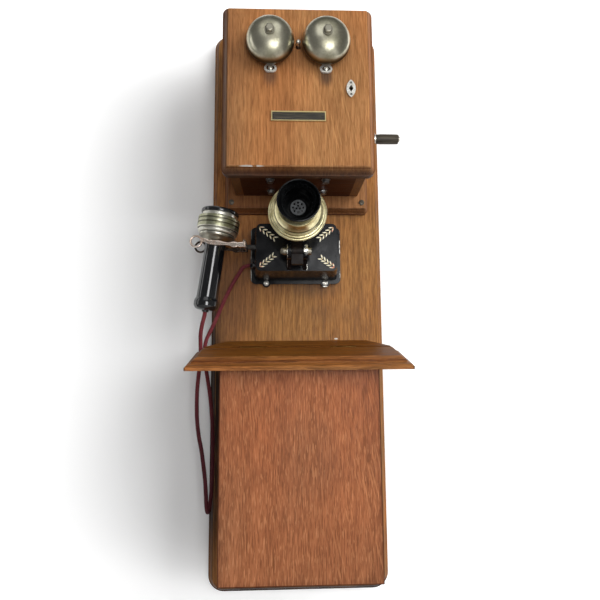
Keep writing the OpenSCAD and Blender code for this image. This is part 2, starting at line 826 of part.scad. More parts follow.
module battery_right_side() {
    color("saddlebrown") translate([battery_w / 2 - battery_wall, 0, 0])
        battery_slab(battery_wall, 0, panel_in);
}

module battery_bottom() {
    inner_w = battery_w - 2 * battery_wall;
    color("saddlebrown") translate([-inner_w / 2, y_board - panel_in, battery_z])
        cube([inner_w, panel_in, battery_wall]);
}

module battery_front_panel() {
    color("sienna") translate([-battery_w / 2, 0, 0]) battery_slab(battery_w, panel_in, battery_d);
}

// Fixed part of the shelf, with its corners cut away towards the board
module shelf_rear_strip() {
    color("sienna") difference() {
        on_shelf() translate([0, 0, -lid_t]) linear_extrude(lid_t)
            polygon([[-lid_w / 2, door_gap / 2], [lid_w / 2, door_gap / 2],
                [strip_w / 2, lid_hinge_out / cos(shelf_slope)], [strip_w / 2, 2 * lid_hinge_out],
                [-strip_w / 2, 2 * lid_hinge_out], [-strip_w / 2, lid_hinge_out / cos(shelf_slope)]]);
        translate([-board_w, y_board, -board_h]) cube([2 * board_w, board_w, 2 * board_h]);
        lid_hinge_places() hinge_room(lid_hinge_len, lid_leaf_w, lid_barrel_r, door_gap, 1);
    }
}

// Steps of the lid's moulding: share of its width, share of the lid's thickness
lid_mould = [[0, 0], [0.42, 0.3], [0.47, 0.48], [0.85, 0.56], [1, 0.72], [1, 1]];

module shelf_lid() {
    under_lid = lid_t - seat;
    side = [for (m = lid_mould) [lid_w / 2 + m[0] * lid_side_w, -m[1] * under_lid]];
    front = [for (m = lid_mould) [-lid_flat - m[0] * lid_front_w, -m[1] * under_lid]];
    color("sienna") difference() {
        on_shelf() intersection() {
            rotate([90, 0, 0]) linear_extrude(2 * (lid_flat + lid_front_w))
                polygon(concat(side, [for (i = [len(side) - 1:-1:0]) [-side[i][0], side[i][1]]]));
            rotate([90, 0, 90]) linear_extrude(2 * lid_w, center = true)
                polygon(concat(front,
                    [[-door_gap / 2, -under_lid], [-door_gap / 2, -lid_axis_drop], [-lid_chamfer, 0]]));
        }
        lid_hinge_places() hinge_room(lid_hinge_len, lid_leaf_w, lid_barrel_r, door_gap, -1);
    }
}

module lid_hinge_leaves() {
    color("goldenrod") lid_hinge_places() hinge_leaf(lid_hinge_len, lid_leaf_w, lid_barrel_r, door_gap, true);
}

module dry_cells() {
    color("tan") for (s = [-1, 1]) translate([s * cell_x, y_board - cell_out, battery_floor]) {
        cylinder(r = cell_r, h = cell_h);
        cylinder(r = 4, h = cell_h + 12);
        translate([cell_r - 7, 0, 0]) cylinder(r = 3, h = cell_h + 10);
    }
}

// Round tube of eight sides swept along the route, closed at both ends
module swept_tube(path, r, sides) {
    rings = len(path);
    points = [for (i = [0:rings - 1])
        let (t = heading(path, i), u = unit(cross(t, [0, 1, 0.01])), v = cross(u, t))
        for (k = [0:sides - 1]) path[i] + r * (cos(360 * k / sides) * u + sin(360 * k / sides) * v)];
    walls = [for (i = [0:rings - 2], k = [0:sides - 1])
        let (a = i * sides + k, b = i * sides + (k + 1) % sides)
        each [[a, a + sides, b], [b, a + sides, b + sides]]];
    caps = [[for (k = [0:sides - 1]) k], [for (k = [sides - 1:-1:0]) (rings - 1) * sides + k]];
    polyhedron(points, concat(walls, caps));
}

// The route's end points are the receiver's tail and the mouth of the gland
module receiver_cord() {
    tail = [-neck_x, neck_y, neck_z] - grip_len * [sin(lean), 0, cos(lean)];
    out_of_tail = tail - 5 * [sin(lean), 0, cos(lean)];
    mouth = [base_x - base_w0 / 2 - gland_len, gland_y, gland_z];
    route = [for (p = cord_route) [base_x, y_board, base_z] + p];
    color("maroon")
        swept_tube(concat([tail, out_of_tail], route, [mouth - [2, 0, 0], mouth]), cord_r, cord_sides);
}

module bell_door() {
    color("sienna") difference() {
        translate([0, y_door, magneto_z]) forward()
            moulded_slab(door_w, door_h, door_t, door_r, door_edge_w, door_edge_d);
        door_hinge_places() hinge_room(door_hinge_len, door_leaf_w, door_barrel_r, door_gap, -1);
        holes([[0, y_face, clapper_z + ball_up]], rod_hole_r, door_t + eps);
        holes([[key_x, y_face, lock_z]], 1.8, door_t + eps);
        holes(bracket_screw_places(), screw_r + fit, bracket_t + screw_bite);
    }
}

module door_hinge_leaves() {
    color("goldenrod") door_hinge_places()
        hinge_leaf(door_hinge_len, door_leaf_w, door_barrel_r, door_gap, true);
}

// Pointed oval plate with a diamond keyhole and two pins
module keyhole_escutcheon() {
    a = escutcheon_w / 2;
    b = escutcheon_h / 2;
    arc_r = (a * a + b * b) / (2 * a);
    color("silver") translate([key_x, y_face, lock_z]) forward() {
        linear_extrude(1.6) difference() {
            intersection() {
                translate([arc_r - a, 0]) circle(arc_r);
                translate([a - arc_r, 0]) circle(arc_r);
            }
            polygon([[0, 4], [1.9, 0], [0, -4], [-1.9, 0]]);
        }
        for (s = [-1, 1]) translate([0, s * b * 0.62, 0]) cylinder(r = 1.1, h = 2.2);
    }
}

module lock_bolt_shape(grow) {
    translate([lock_x - lock_w + bolt_tail - grow, bolt_y - bolt_t / 2 - grow, lock_z - bolt_h / 2 - grow])
        cube([lock_w - bolt_tail + 2 * grow, bolt_t + 2 * grow, bolt_h + 2 * grow]);
}

module door_lock() {
    color("goldenrod") difference() {
        translate([lock_x - lock_w, y_door, lock_z - lock_h / 2]) cube([lock_w, lock_t, lock_h]);
        lock_bolt_shape(gap);
        holes([[key_x, y_face, lock_z]], 1.8, door_t + lock_t + eps);
    }
}

module lock_bolt() {
    color("goldenrod") lock_bolt_shape(0);
}

// Bare plate with a raised border and a pin at each end
module nameplate() {
    color("darkgoldenrod") translate([0, y_face, magneto_z + plate_up]) forward() {
        translate([-plate_w / 2, -plate_h / 2, 0]) difference() {
            cube([plate_w, plate_h, 1.4]);
            translate([1.2, 1.2, 0.9]) cube([plate_w - 2.4, plate_h - 2.4, eps]);
        }
        for (s = [-1, 1]) translate([s * (plate_w / 2 - 3.5), 0, 0]) cylinder(r = 1, h = 1.9);
    }
}

function bracket_screw_places() = [for (s = [-1, 1]) [s * gong_dx / 2, y_face, gong_z - bracket_drop]];

module oval(w, h) {
    square([w - h, h], center = true);
    for (s = [-1, 1]) translate([s * (w - h) / 2, 0]) circle(h / 2);
}

// Strap under each gong with a slotted oval end below and a post that carries the gong
module gong_brackets() {
    post_h = gong_stand + crown * (gong_h - gong_wall);
    slot_h = 2 * screw_r + 0.7;
    color("silver") for (s = [-1, 1]) translate([s * gong_dx / 2, y_face, gong_z]) forward() difference() {
        union() {
            linear_extrude(bracket_t) {
                translate([-bracket_w / 2, -bracket_drop]) square([bracket_w, bracket_drop + 2]);
                translate([0, 2]) circle(bracket_w / 2);
                translate([0, -bracket_drop]) oval(bracket_end_w, bracket_end_h);
            }
            cylinder(r = post_r, h = post_h);
        }
        translate([0, -bracket_drop, -eps]) linear_extrude(bracket_t + 2 * eps)
            oval(bracket_end_w - bracket_end_h + slot_h, slot_h);
        translate([0, 0, post_h - 12]) cylinder(r = gong_screw_r + fit, h = 13);
    }
}

// Domed shell with its mouth towards the door
module gong(s) {
    color("silver") translate([s * gong_dx / 2, y_face - gong_stand, gong_z]) forward() difference() {
        rotate_extrude($fn = 96) polygon(concat([[0, 0]], dome(gong_r, gong_h)));
        rotate_extrude($fn = 96) translate([0, -0.01])
            polygon(concat([[0, 0]], dome(gong_r - gong_wall, gong_h - gong_wall + 0.01)));
        cylinder(r = gong_screw_r + fit, h = gong_h + eps);
    }
}

module left_gong() {
    gong(-1);
}

module right_gong() {
    gong(1);
}

// Hexagon screws with washers on the gongs, and round-headed screws in the slots of the brackets
module bell_screws() {
    color("silver") {
        for (s = [-1, 1]) translate([s * gong_dx / 2, y_face - gong_stand - gong_h, gong_z]) forward() {
            cylinder(r = gong_washer_r, h = 1.2);
            intersection() {
                cylinder(r = 5.4, h = 5.6, $fn = 6);
                translate([0, 0, -4]) sphere(10.2);
            }
            translate([0, 0, -11]) cylinder(r = gong_screw_r, h = 12);
        }
        for (p = bracket_screw_places()) translate(p - [0, bracket_t, 0]) forward()
            wood_screw(bracket_t + screw_bite - eps, 0.75 * screw_head_r);
    }
}

// Plate on the inside of the door with a yoke above for the coils and a bearing for the clapper shaft
module ringer_frame() {
    half_w = coil_dx / 2 + coil_r + 8;
    color("dimgray") difference() {
        union() {
            translate([-half_w, y_door, clapper_z - 12])
                cube([2 * half_w, frame_t, yoke_z + frame_t - clapper_z + 12]);
            translate([-half_w, y_door, yoke_z]) cube([2 * half_w, yoke_back - y_door, frame_t]);
        }
        holes([[0, y_door, clapper_z]], clapper_shaft_r + fit, frame_t + eps);
        holes([[0, y_door, clapper_z + ball_up]], rod_hole_r, frame_t + eps);
    }
}

module ringer_coils() {
    color("saddlebrown") for (s = [-1, 1]) translate([s * coil_dx / 2, ringer_y, coil_foot]) {
        cylinder(r = 3.5, h = yoke_z - coil_foot);
        translate([0, 0, 3]) cylinder(r = coil_r - 1.2, h = coil_h);
        for (z = [3, coil_h + 1]) translate([0, 0, z]) cylinder(r = coil_r, h = 2);
    }
}

// Bar from the yoke down behind the armature, with the rear bearing of the clapper shaft
module ringer_magnet() {
    color("firebrick") difference() {
        translate([-7, yoke_back, clapper_z - 6]) cube([14, magnet_bar_t, yoke_z + frame_t - clapper_z + 6]);
        translate([0, yoke_back + magnet_bar_t + eps, clapper_z]) forward()
            cylinder(r = clapper_shaft_r + fit, h = magnet_bar_t + 2 * eps);
    }
}

// Armature bar on its shaft, with an arm between the coils and a rod out through the door to the ball
module clapper() {
    shaft_y0 = y_door + seat;
    shaft_y1 = yoke_back + magnet_bar_t - 1;
    bar_x = coil_dx / 2 + 8;
    color("gray") {
        translate([-bar_x, ringer_y - armature_bar_w / 2, clapper_z - armature_bar_h / 2])
            cube([2 * bar_x, armature_bar_w, armature_bar_h]);
        translate([0, shaft_y1, clapper_z]) forward() cylinder(r = clapper_shaft_r, h = shaft_y1 - shaft_y0);
        translate([0, ringer_y, clapper_z]) cylinder(r = rod_r, h = ball_up);
        translate([0, ringer_y, clapper_z + ball_up]) {
            sphere(rod_r);
            forward() cylinder(r = rod_r, h = ringer_y - ball_y);
        }
        translate([0, ball_y, clapper_z + ball_up]) sphere(ball_r);
    }
}

module crank_shaft() {
    x0 = -plate_x - plate_t - 3;
    color("gray") translate([x0, gen_y, crank_z]) rightward() cylinder(r = shaft_r, h = hub_x + hub_w - x0);
}

module drive_gear() {
    color("goldenrod") translate([gear_x, gen_y, crank_z]) difference() {
        union() {
            rotate([90, 0, 90]) linear_extrude(gear_w) polygon(gear_outline(gear_teeth, gear_module));
            translate([-3, 0, 0]) rightward() cylinder(r = 9, h = gear_w + 3);
        }
        rightward() cylinder(r = shaft_r + fit, h = 6 * gear_w, center = true);
        for (a = [0:72:288]) rotate([a, 0, 0]) translate([-eps, gear_r * 0.6, 0]) rightward()
            cylinder(r = gear_r * 0.2, h = gear_w + 2 * eps);
    }
}

// Hub on the shaft, flat arm bowed outwards and a boss with the pin for the handle
module crank_arm() {
    z1 = crank_z - crank_r;
    color("silver") difference() {
        union() {
            translate([hub_x, gen_y, crank_z]) rightward() cylinder(r = hub_r, h = hub_w);
            translate([boss_x, gen_y, z1]) rightward() cylinder(r = boss_r, h = boss_w);
            translate([0, gen_y, 0]) rotate([90, 0, 0]) linear_extrude(9, center = true)
                polygon([[hub_x + 1, crank_z - 4], [hub_x + 1 + arm_t, crank_z - 4],
                    [boss_x + arm_t, z1 + boss_r], [boss_x + arm_t, z1], [boss_x, z1],
                    [boss_x, z1 + boss_r + 2]]);
            translate([boss_x, gen_y, z1]) rightward()
                cylinder(r = handle_pin_r, h = boss_w + 2 * gap + handle_len + 1.5);
            translate([handle_x + handle_len + gap, gen_y, z1]) rightward()
                cylinder(r = handle_pin_r + 1.6, h = 1.5);
        }
        translate([0, gen_y, crank_z]) rightward() cylinder(r = shaft_r + fit, h = 4 * hub_x, center = true);
    }
}

module crank_handle() {
    r = handle_dia / 2;
    color([0.16, 0.11, 0.08]) translate([handle_x, gen_y, crank_z - crank_r]) rightward() difference() {
        rotate_extrude() polygon([[0, 0], [r * 0.8, 0], [r * 0.93, 1], [r, 7], [r, handle_len - 6],
            [r * 0.97, handle_len - 1], [r * 0.88, handle_len], [0, handle_len]]);
        translate([0, 0, -eps]) cylinder(r = handle_pin_r + fit, h = handle_len + 2 * eps);
    }
}

// Slotted drum on two journals; the right journal carries the pinion
module generator_armature() {
    drum_x = plate_x - 3;
    slot = armature_r * 0.55;
    color("dimgray") translate([0, gen_y, armature_z]) {
        difference() {
            rightward() cylinder(r = armature_r, h = 2 * drum_x, center = true);
            for (z = [slot * 0.8, -armature_r - slot * 0.8]) translate([-2 * drum_x, -slot / 2, z])
                cube([4 * drum_x, slot, armature_r]);
        }
        translate([-plate_x - plate_t - 3, 0, 0]) rightward()
            cylinder(r = journal_r, h = plate_x + plate_t + 4 + gear_x + gear_w);
    }
}

module armature_pinion() {
    color("silver") translate([gear_x - 0.5, gen_y, armature_z]) difference() {
        rotate([90, 0, 90]) linear_extrude(gear_w + 1) rotate(180 / pinion_teeth)
            polygon(gear_outline(pinion_teeth, gear_module));
        rightward() cylinder(r = journal_r + fit, h = 6 * gear_w, center = true);
    }
}

// Arm between the cheeks, from below its pivot up to the back of the transmitter cup
module transmitter_arm() {
    reach = tx_out;
    color([0.1, 0.09, 0.08]) difference() {
        union() {
            translate([base_x - arm_w / 2, pivot_y, pivot_z]) rotate([90, 0, 90]) linear_extrude(arm_w) {
                circle(9);
                polygon([[5, -18], [-5, -18], [-8, 0], [-reach, 12],
                    [-reach, tx_up + 8], [3, tx_up + 8], [8, 0]]);
            }
            translate([base_x, cup_y, tx_z]) forward() translate([0, 0, -6]) cylinder(r = 10, h = 6);
        }
        translate([base_x, pivot_y, pivot_z]) rightward()
            cylinder(r = pivot_r + fit, h = 2 * arm_w, center = true);
    }
}

module turned(y, profile) {
    translate([base_x, y, tx_z]) forward() rotate_extrude($fn = 96) polygon(profile);
}

module transmitter_cup() {
    r = face_r - 0.5;
    d = cup_d;
    color("darkkhaki") turned(cup_y, [[0, 0], [r - 12.5, 0], [r - 7, d * 0.2], [r - 2, d * 0.6],
        [r, d * 0.92], [r, d], [r - 2, d], [r - 2, d * 0.92], [r - 4, d * 0.64], [r - 9, d * 0.27],
        [r - 13.5, 2], [0, 2]]);
}

// Ringed face: a flange, two steps and a hollow sweep up to the seat of the mouthpiece
module transmitter_face() {
    r = face_r;
    d = face_d;
    seat_r = mouth_neck_r + fit;
    color("gold") turned(face_y, [[r, 0], [r, 2.2], [r - 1.2, 3.2], [r - 2.6, 3.2], [r - 2.6, 5.4],
        [r - 3.6, 6.4], [r - 5, 6.4], [r - 5, 8.6], [r - 7.5, 11], [r - 10, d * 0.62], [r - 12, d * 0.82],
        [r - 12.6, d], [seat_r, d], [seat_r, d - 8], [r - 14.5, d - 8], [r - 12.4, d * 0.58], [r - 8, 7],
        [r - 8, 2.6], [r - 3, 0]]);
}

// Flared cup screwed into the face, with a pierced grille across its throat
module mouthpiece() {
    r = mouth_r;
    n = mouth_neck_r;
    d = mouth_len;
    color([0.05, 0.05, 0.05]) difference() {
        turned(mouth_y, [[0, -grille_back - 1], [n, -grille_back - 1], [n, 0], [n + 4, 0.4],
            [r - 4, d * 0.45], [r, d - 2], [r, d - 0.6], [r - 0.8, d], [r - 1.9, d], [r - 6, d * 0.45],
            [n + 1.5, 3], [n - 2, 0], [n - 4, -2], [n - 4.4, 0.5 - grille_back], [0, 1 - grille_back]]);
        translate([base_x, mouth_y + grille_back + 3, tx_z]) forward()
            for (ring = [[3, 2.1], [7, 5.6]], k = [0:ring[0] - 1])
                rotate(-360 * k / ring[0]) translate([0, ring[1], 0]) cylinder(r = 0.85, h = 6, $fn = 16);
    }
}

// Thin disc held at the rim of the cup, with the carbon button on its back
module transmitter_diaphragm() {
    color("dimgray") translate([base_x, face_y, tx_z]) rotate([-90, 0, 0]) {
        cylinder(r = face_r - 2.5 - 0.25, h = 0.7);
        cylinder(r = 11, h = 9);
    }
}

// Forged prong seen from the front, from the middle of the receiver's neck: it falls from its ring,
// swells under the cup, narrows and ends in a block at the yoke
module prong_outline() {
    x1 = yoke_x + neck_x;
    translate([-ring_out, 1]) difference() {
        circle(ring_r);
        circle(ring_r - 2.8);
    }
    polygon([[-ring_out + ring_r - 2.6, -1], [-ring_out + ring_r - 3.4, 6.8], [-12, 5.6], [-6, 3.4], [0, 3],
        [7, 2.6], [12, 0.9], [17, -0.4], [21, -0.4], [25, 1], [29, 1], [32, -0.6], [34, 0.4], [x1, 0.4],
        [x1, -6.6], [34, -6.6], [32, -5.6], [29, -7.2], [25, -7], [21, -4.8], [17, -4.2], [7, -4.2],
        [0, -3.8], [-6, -2.6], [-12, 0.4]]);
}

// Lever on the pivot stud, yoke outside the base and two prongs that end in rings
module hook_lever() {
    hub = lever_t + 6;
    yoke_foot = hook_z - 6.6;
    color("silver") difference() {
        union() {
            translate([stud_x, y_board - stud_shoulder, hook_z]) forward() cylinder(r = stud_r + 4, h = hub);
            translate([yoke_x - lever_t, lever_y - lever_t / 2, hook_z - hook_h / 2])
                cube([stud_x - yoke_x + lever_t, lever_t, hook_h]);
            translate([stud_x, lever_y - lever_t / 2, hook_z - 2.5]) cube([lever_tail, lever_t, 5]);
            translate([yoke_x - lever_t, neck_y - prong_in - prong_t, yoke_foot])
                cube([lever_t, 2 * (prong_in + prong_t), hook_z + hook_h / 2 - yoke_foot]);
            for (y = [neck_y - prong_in, neck_y + prong_in + prong_t])
                translate([-neck_x, y, hook_z]) forward() linear_extrude(prong_t) prong_outline();
        }
        translate([stud_x, y_board, hook_z]) forward() cylinder(r = stud_r + fit, h = 2 * neck_out);
    }
}

module receiver_handle() {
    n = neck_r;
    g = grip_len;
    b = bead_r;
    color([0.05, 0.05, 0.06]) on_receiver() rotate_extrude($fn = 96) polygon([[9.5, 0], [n, 0],
        [n - 0.4, -8], [n, -g * 0.62], [n + 0.4, 20 - g], [n + 0.9, 18 - g], [b - 0.6, 16 - g], [b, 13 - g],
        [b - 0.3, 8 - g], [b - 2.5, 4 - g], [b - 6, 2.4 - g], [4.5, 2.4 - g], [4.5, -g], [0, -g],
        [0, 18 - g], [9.5, 18 - g]]);
}

// Spun metal cup: a hollow sweep over the neck, two rings, a drum and the threaded band for the ear cap
module receiver_cup() {
    n = neck_r;
    r = drum_r;
    color("lightgray") on_receiver() rotate_extrude($fn = 96) polygon([[9.5, 0], [n + 0.2, 0],
        [n + 4.5, 5], [n + 7, 6.2], [r - 4.5, 7.2], [r - 4.5, 10.4], [r - 5.6, 11.2], [r - 2, 12.4],
        [r - 1.4, 14], [r - 2, 15.8], [r - 2.8, 16.6], [r, 17.4], [r, 33], [r - 1, 34], [r - 4.5, 34.5],
        [r - 4.5, 39.5], [r - 6.5, 39.5], [r - 6.5, 34.5], [r - 2.4, 32], [r - 2.4, 19], [r - 7, 12],
        [n + 2, 7], [9.5, 4]]);
}

module receiver_cap() {
    r = cap_r;
    inner = drum_r - 6.5 - 0.2;
    color([0.05, 0.05, 0.06]) on_receiver() rotate_extrude($fn = 96) polygon([[4, 36], [inner, 36],
        [inner, 39.5], [r - 0.6, 39.5], [r, 40.6], [r, 43.4], [r - 1.5, 45], [r - 7, 45], [r - 10, 43],
        [8, 39], [4, 38.4]]);
}

module receiver_diaphragm() {
    color("dimgray") on_receiver() translate([0, 0, 35.4]) cylinder(r = drum_r - 6.5 - 0.2, h = 0.6);
}

// Bar magnet in the handle with its coil under the diaphragm
module receiver_magnet() {
    color("dimgray") on_receiver() {
        translate([0, 0, 18 - grip_len]) cylinder(r = 9.3, h = grip_len - 8);
        cylinder(r = 4, h = 32);
        translate([0, 0, 14]) cylinder(r = 12, h = 15);
    }
}

backboard();
magneto_back_panel();
magneto_left_side();
magneto_right_side();
magneto_top();
magneto_bottom();
case_screws();
hinge_case_leaves();
hinge_pins();
generator_frame();
generator_poles();
generator_magnets();
generator_bolts();
crank_bush();
transmitter_base();
transmitter_pivot_bolt();
induction_coil();
hook_contact_springs();
hook_pivot_stud();
cord_gland();
battery_left_side();
battery_right_side();
battery_bottom();
battery_front_panel();
shelf_rear_strip();
dry_cells();
receiver_cord();
bell_door();
door_hinge_leaves();
keyhole_escutcheon();
door_lock();
nameplate();
gong_brackets();
left_gong();
right_gong();
bell_screws();
ringer_frame();
ringer_coils();
ringer_magnet();
lock_bolt();
clapper();
crank_shaft();
drive_gear();
crank_arm();
crank_handle();
generator_armature();
armature_pinion();
transmitter_arm();
transmitter_cup();
transmitter_face();
mouthpiece();
transmitter_diaphragm();
hook_lever();
receiver_handle();
receiver_cup();
receiver_cap();
receiver_diaphragm();
receiver_magnet();
shelf_lid();
lid_hinge_leaves();
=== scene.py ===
"""Magneto wall telephone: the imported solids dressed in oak, nickel, brass, ebonite and braided cord."""

import bmesh
import bpy
import numpy as np
from mathutils import Matrix, Vector


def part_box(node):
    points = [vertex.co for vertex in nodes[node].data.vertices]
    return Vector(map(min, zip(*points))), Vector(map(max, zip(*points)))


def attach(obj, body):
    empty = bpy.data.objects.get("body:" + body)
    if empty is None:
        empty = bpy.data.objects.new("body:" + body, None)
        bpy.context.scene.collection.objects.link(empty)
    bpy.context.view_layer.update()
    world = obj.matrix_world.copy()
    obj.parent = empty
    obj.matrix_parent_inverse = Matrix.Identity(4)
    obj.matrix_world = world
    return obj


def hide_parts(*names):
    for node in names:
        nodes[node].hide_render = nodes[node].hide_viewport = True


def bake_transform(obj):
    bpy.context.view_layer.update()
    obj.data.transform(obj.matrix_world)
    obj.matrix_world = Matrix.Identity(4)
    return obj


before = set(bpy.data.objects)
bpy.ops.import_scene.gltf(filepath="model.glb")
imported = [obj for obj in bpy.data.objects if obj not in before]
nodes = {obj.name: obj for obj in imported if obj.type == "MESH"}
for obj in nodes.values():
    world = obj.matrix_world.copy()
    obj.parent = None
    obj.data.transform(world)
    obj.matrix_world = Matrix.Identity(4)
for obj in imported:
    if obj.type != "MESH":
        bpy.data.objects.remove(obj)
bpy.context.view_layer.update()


# Camera. It stands close in front of the telephone, a little left of the middle and below it,
# and looks slightly up and to the right, as a hand-held one does.
def placed(name, data):
    """A new object in the scene, at the origin."""
    made = bpy.data.objects.new(name, data)
    bpy.context.scene.collection.objects.link(made)
    return made


camera_place = (-0.0192, -0.6913, -0.0806)
yaw, pitch, roll = np.radians((2.00, 6.22, -0.41))
ahead = np.array([np.sin(yaw) * np.cos(pitch), np.cos(yaw) * np.cos(pitch), np.sin(pitch)])
level = np.array([np.cos(yaw), -np.sin(yaw), 0.0])
upright = np.cross(level, ahead)
right = np.cos(roll) * level + np.sin(roll) * upright
up = -np.sin(roll) * level + np.cos(roll) * upright
lens = bpy.data.cameras.new("camera")
lens.sensor_width, lens.lens, lens.clip_start = 36.0, 27.3, 0.02
camera = placed("camera", lens)
camera.matrix_world = Matrix.Translation(camera_place) @ Matrix(np.column_stack([right, up, -ahead])).to_4x4()
bpy.context.scene.camera = camera
bpy.context.scene.view_settings.view_transform = "Standard"


# Receiver cord. A limp maroon cord of twisted tinsel under a braided cotton cover: it leaves the
# tail of the receiver, hangs down beside the board in one long loop and goes into the base.
def node(tree, kind, inputs=None, **properties):
    """A shader node with its properties set; an input given as a reading or a socket is linked, else it is a value.
    A colour may leave out its alpha."""
    made = tree.nodes.new("ShaderNode" + kind)
    for name, setting in properties.items():
        setattr(made, name, setting)
    for key, setting in (inputs or {}).items():
        socket, setting = made.inputs[key], getattr(setting, "socket", setting)
        if isinstance(setting, bpy.types.NodeSocket):
            tree.links.new(setting, socket)
        else:
            bare = socket.type == "RGBA" and len(setting) == 3
            socket.default_value = (*setting, 1) if bare else setting
    return made


def worked(operation):
    """A way to work out one number from a reading and up to two others."""
    def work(reading, *others):
        inputs = dict(enumerate((reading, *others)))
        return Reading(node(reading.tree, "Math", inputs, operation=operation).outputs[0])
    return work


class Reading:
    """What a shader node gives at each point of a surface: a number, a place or a colour. Sums, products and the like
    of readings add the nodes that work them out; at_least is the greater of two numbers and at_most the lesser."""

    __add__, __sub__, __mul__, __truediv__ = map(worked, ("ADD", "SUBTRACT", "MULTIPLY", "DIVIDE"))
    __pow__, __lt__, __abs__ = map(worked, ("POWER", "LESS_THAN", "ABSOLUTE"))
    at_least, at_most, sine, root = map(worked, ("MAXIMUM", "MINIMUM", "SINE", "SQRT"))

    def __init__(self, socket):
        self.socket, self.tree = socket, socket.id_data

    def __rsub__(self, other):
        return self * -1.0 + other

    def between(self, low, high, to_low=0.0, to_high=1.0):
        """The number carried from low..high to to_low..to_high with soft ends, held outside them."""
        inputs = {"Value": self, "From Min": low, "From Max": high, "To Min": to_low, "To Max": to_high}
        return Reading(node(self.tree, "MapRange", inputs, interpolation_type="SMOOTHSTEP").outputs[0])

    def blend(self, first, second):
        """Two colours mixed: all first where the number is 0, all second where it is 1."""
        return Reading(node(self.tree, "Mix", {0: self, 6: first, 7: second}, data_type="RGBA").outputs[2])

    def tinted(self, tint):
        """The colour times another colour or a number."""
        inputs = {0: 1.0, 6: self, 7: tint}
        return Reading(node(self.tree, "Mix", inputs, data_type="RGBA", blend_type="MULTIPLY").outputs[2])

    def part(self, axis):
        """The X, Y or Z of a place."""
        return Reading(node(self.tree, "SeparateXYZ", {0: self}).outputs[axis])

    def cloudy(self, scale, detail=2.0, roughness=0.5, distortion=0.0):
        """Soft noise from 0 to 1 over a place, of scale cycles per metre: a number, or one number per axis."""
        scale = scale if isinstance(scale, tuple) else (scale,) * 3
        spread = node(self.tree, "VectorMath", {0: self, 1: scale}, operation="MULTIPLY").outputs[0]
        inputs = {"Vector": spread, "Scale": 1.0, "Detail": detail, "Roughness": roughness, "Distortion": distortion}
        return Reading(node(self.tree, "TexNoise", inputs).outputs[0])


def coordinate(tree, kind="Object"):
    """Where each point lies on its piece (Object) or on its UV map (UV), or the way that it faces (Normal)."""
    return Reading(node(tree, "TexCoord").outputs[kind])


def finish(name, **constants):
    """A new material with only a principled shader, whose constant sockets are set by name, and the place of each
    point on its piece."""
    material = bpy.data.materials.new(name)
    material.use_nodes = True
    shader = material.node_tree.nodes["Principled BSDF"]
    for socket, setting in constants.items():
        shader.inputs[socket.replace("_", " ")].default_value = setting
    return material, coordinate(material.node_tree)


def laid(material, height=None, depth=0.0, **sockets):
    """The material with readings laid on its shader's sockets by name, and with bump of that depth in metres from a
    height between 0 and 1."""
    tree = material.node_tree
    if height:
        bump = node(tree, "Bump", {"Height": height, "Distance": depth, "Strength": 1.0})
        sockets["Normal"] = Reading(bump.outputs[0])
    for name, reading in sockets.items():
        tree.links.new(reading.socket, tree.nodes["Principled BSDF"].inputs[name.replace("_", " ")])
    return material


def run_along(points):
    """Length of a line from its first point to each of its points."""
    return np.concatenate([[0.0], np.cumsum(np.linalg.norm(np.diff(points, axis=0), axis=1))])


def skin(name, material, *grids):
    """Closed surfaces through grids of points [i, j], with i along a profile and j around it, in one object at the
    origin: doubles merged, faces outwards. The UV map holds j as a share of the turn and the length along i."""
    corners, uv, start = [], [], 0
    for points in grids:
        rows, columns = points.shape[:2]
        i, j = np.meshgrid(np.arange(rows - 1), np.arange(columns), indexing="ij")
        k = (j + 1) % columns
        face = np.stack([i * columns + j, i * columns + k, (i + 1) * columns + k, (i + 1) * columns + j], -1)
        run = run_along(points[:, 0])
        turn = np.stack([j, j + 1, j + 1, j], -1) / columns
        along = np.stack([run[i], run[i], run[i + 1], run[i + 1]], -1)
        corners.append(start + face.reshape(-1, 4))
        uv.append(np.stack([turn, along], -1).reshape(-1, 2))
        start += rows * columns
    mesh = bpy.data.meshes.new(name)
    points = np.concatenate([grid.reshape(-1, 3) for grid in grids])
    mesh.from_pydata(points.tolist(), [], np.concatenate(corners).tolist())
    layer = mesh.uv_layers.new(name="UVMap")
    layer.data.foreach_set("uv", np.concatenate(uv).astype(np.float32).ravel())
    work = bmesh.new()
    work.from_mesh(mesh)
    bmesh.ops.remove_doubles(work, verts=work.verts, dist=1e-6)
    bmesh.ops.recalc_face_normals(work, faces=work.faces)
    work.to_mesh(mesh)
    work.free()
    mesh.shade_smooth()
    mesh.materials.append(material)
    return placed(name, mesh)


mm = 0.001
cord_radius = 2.75 * mm
base_place = np.array([-0.002, -0.020, 0.0585])
cord_hang = mm * np.array([
    [-127.5, -49, -99], [-130, -46, -108], [-132, -41, -118], [-133, -35, -130], [-133.5, -30.5, -144],
    [-135, -29, -162], [-137.5, -30, -195], [-137, -31, -230], [-134, -32, -254], [-130, -32, -274],
    [-127, -32, -294], [-124.5, -32, -314], [-123, -32, -334], [-122.5, -31, -346], [-122, -26.5, -355],
    [-121.5, -20, -358], [-121, -13.5, -355], [-120.5, -9, -346], [-119.5, -8, -332], [-118.5, -8, -300],
    [-119, -8, -255], [-122, -8, -214], [-126, -8, -186], [-130, -9, -162], [-132, -9, -144],
    [-130.5, -9, -128], [-125.5, -9, -115], [-118, -9, -99], [-109.5, -9, -79], [-100.5, -10, -59],
    [-90.5, -11.5, -40], [-84.5, -12.5, -30.5], [-79.5, -13.5, -22.5], [-77, -14, -19.5], [-73, -14, -17.5]])
cord_route = np.concatenate([[[-0.1270, -0.070, -0.0290], [-0.1277, -0.070, -0.0339]], base_place + cord_hang,
                             [[-0.0705, -0.034, 0.042], [-0.0685, -0.034, 0.042]]])


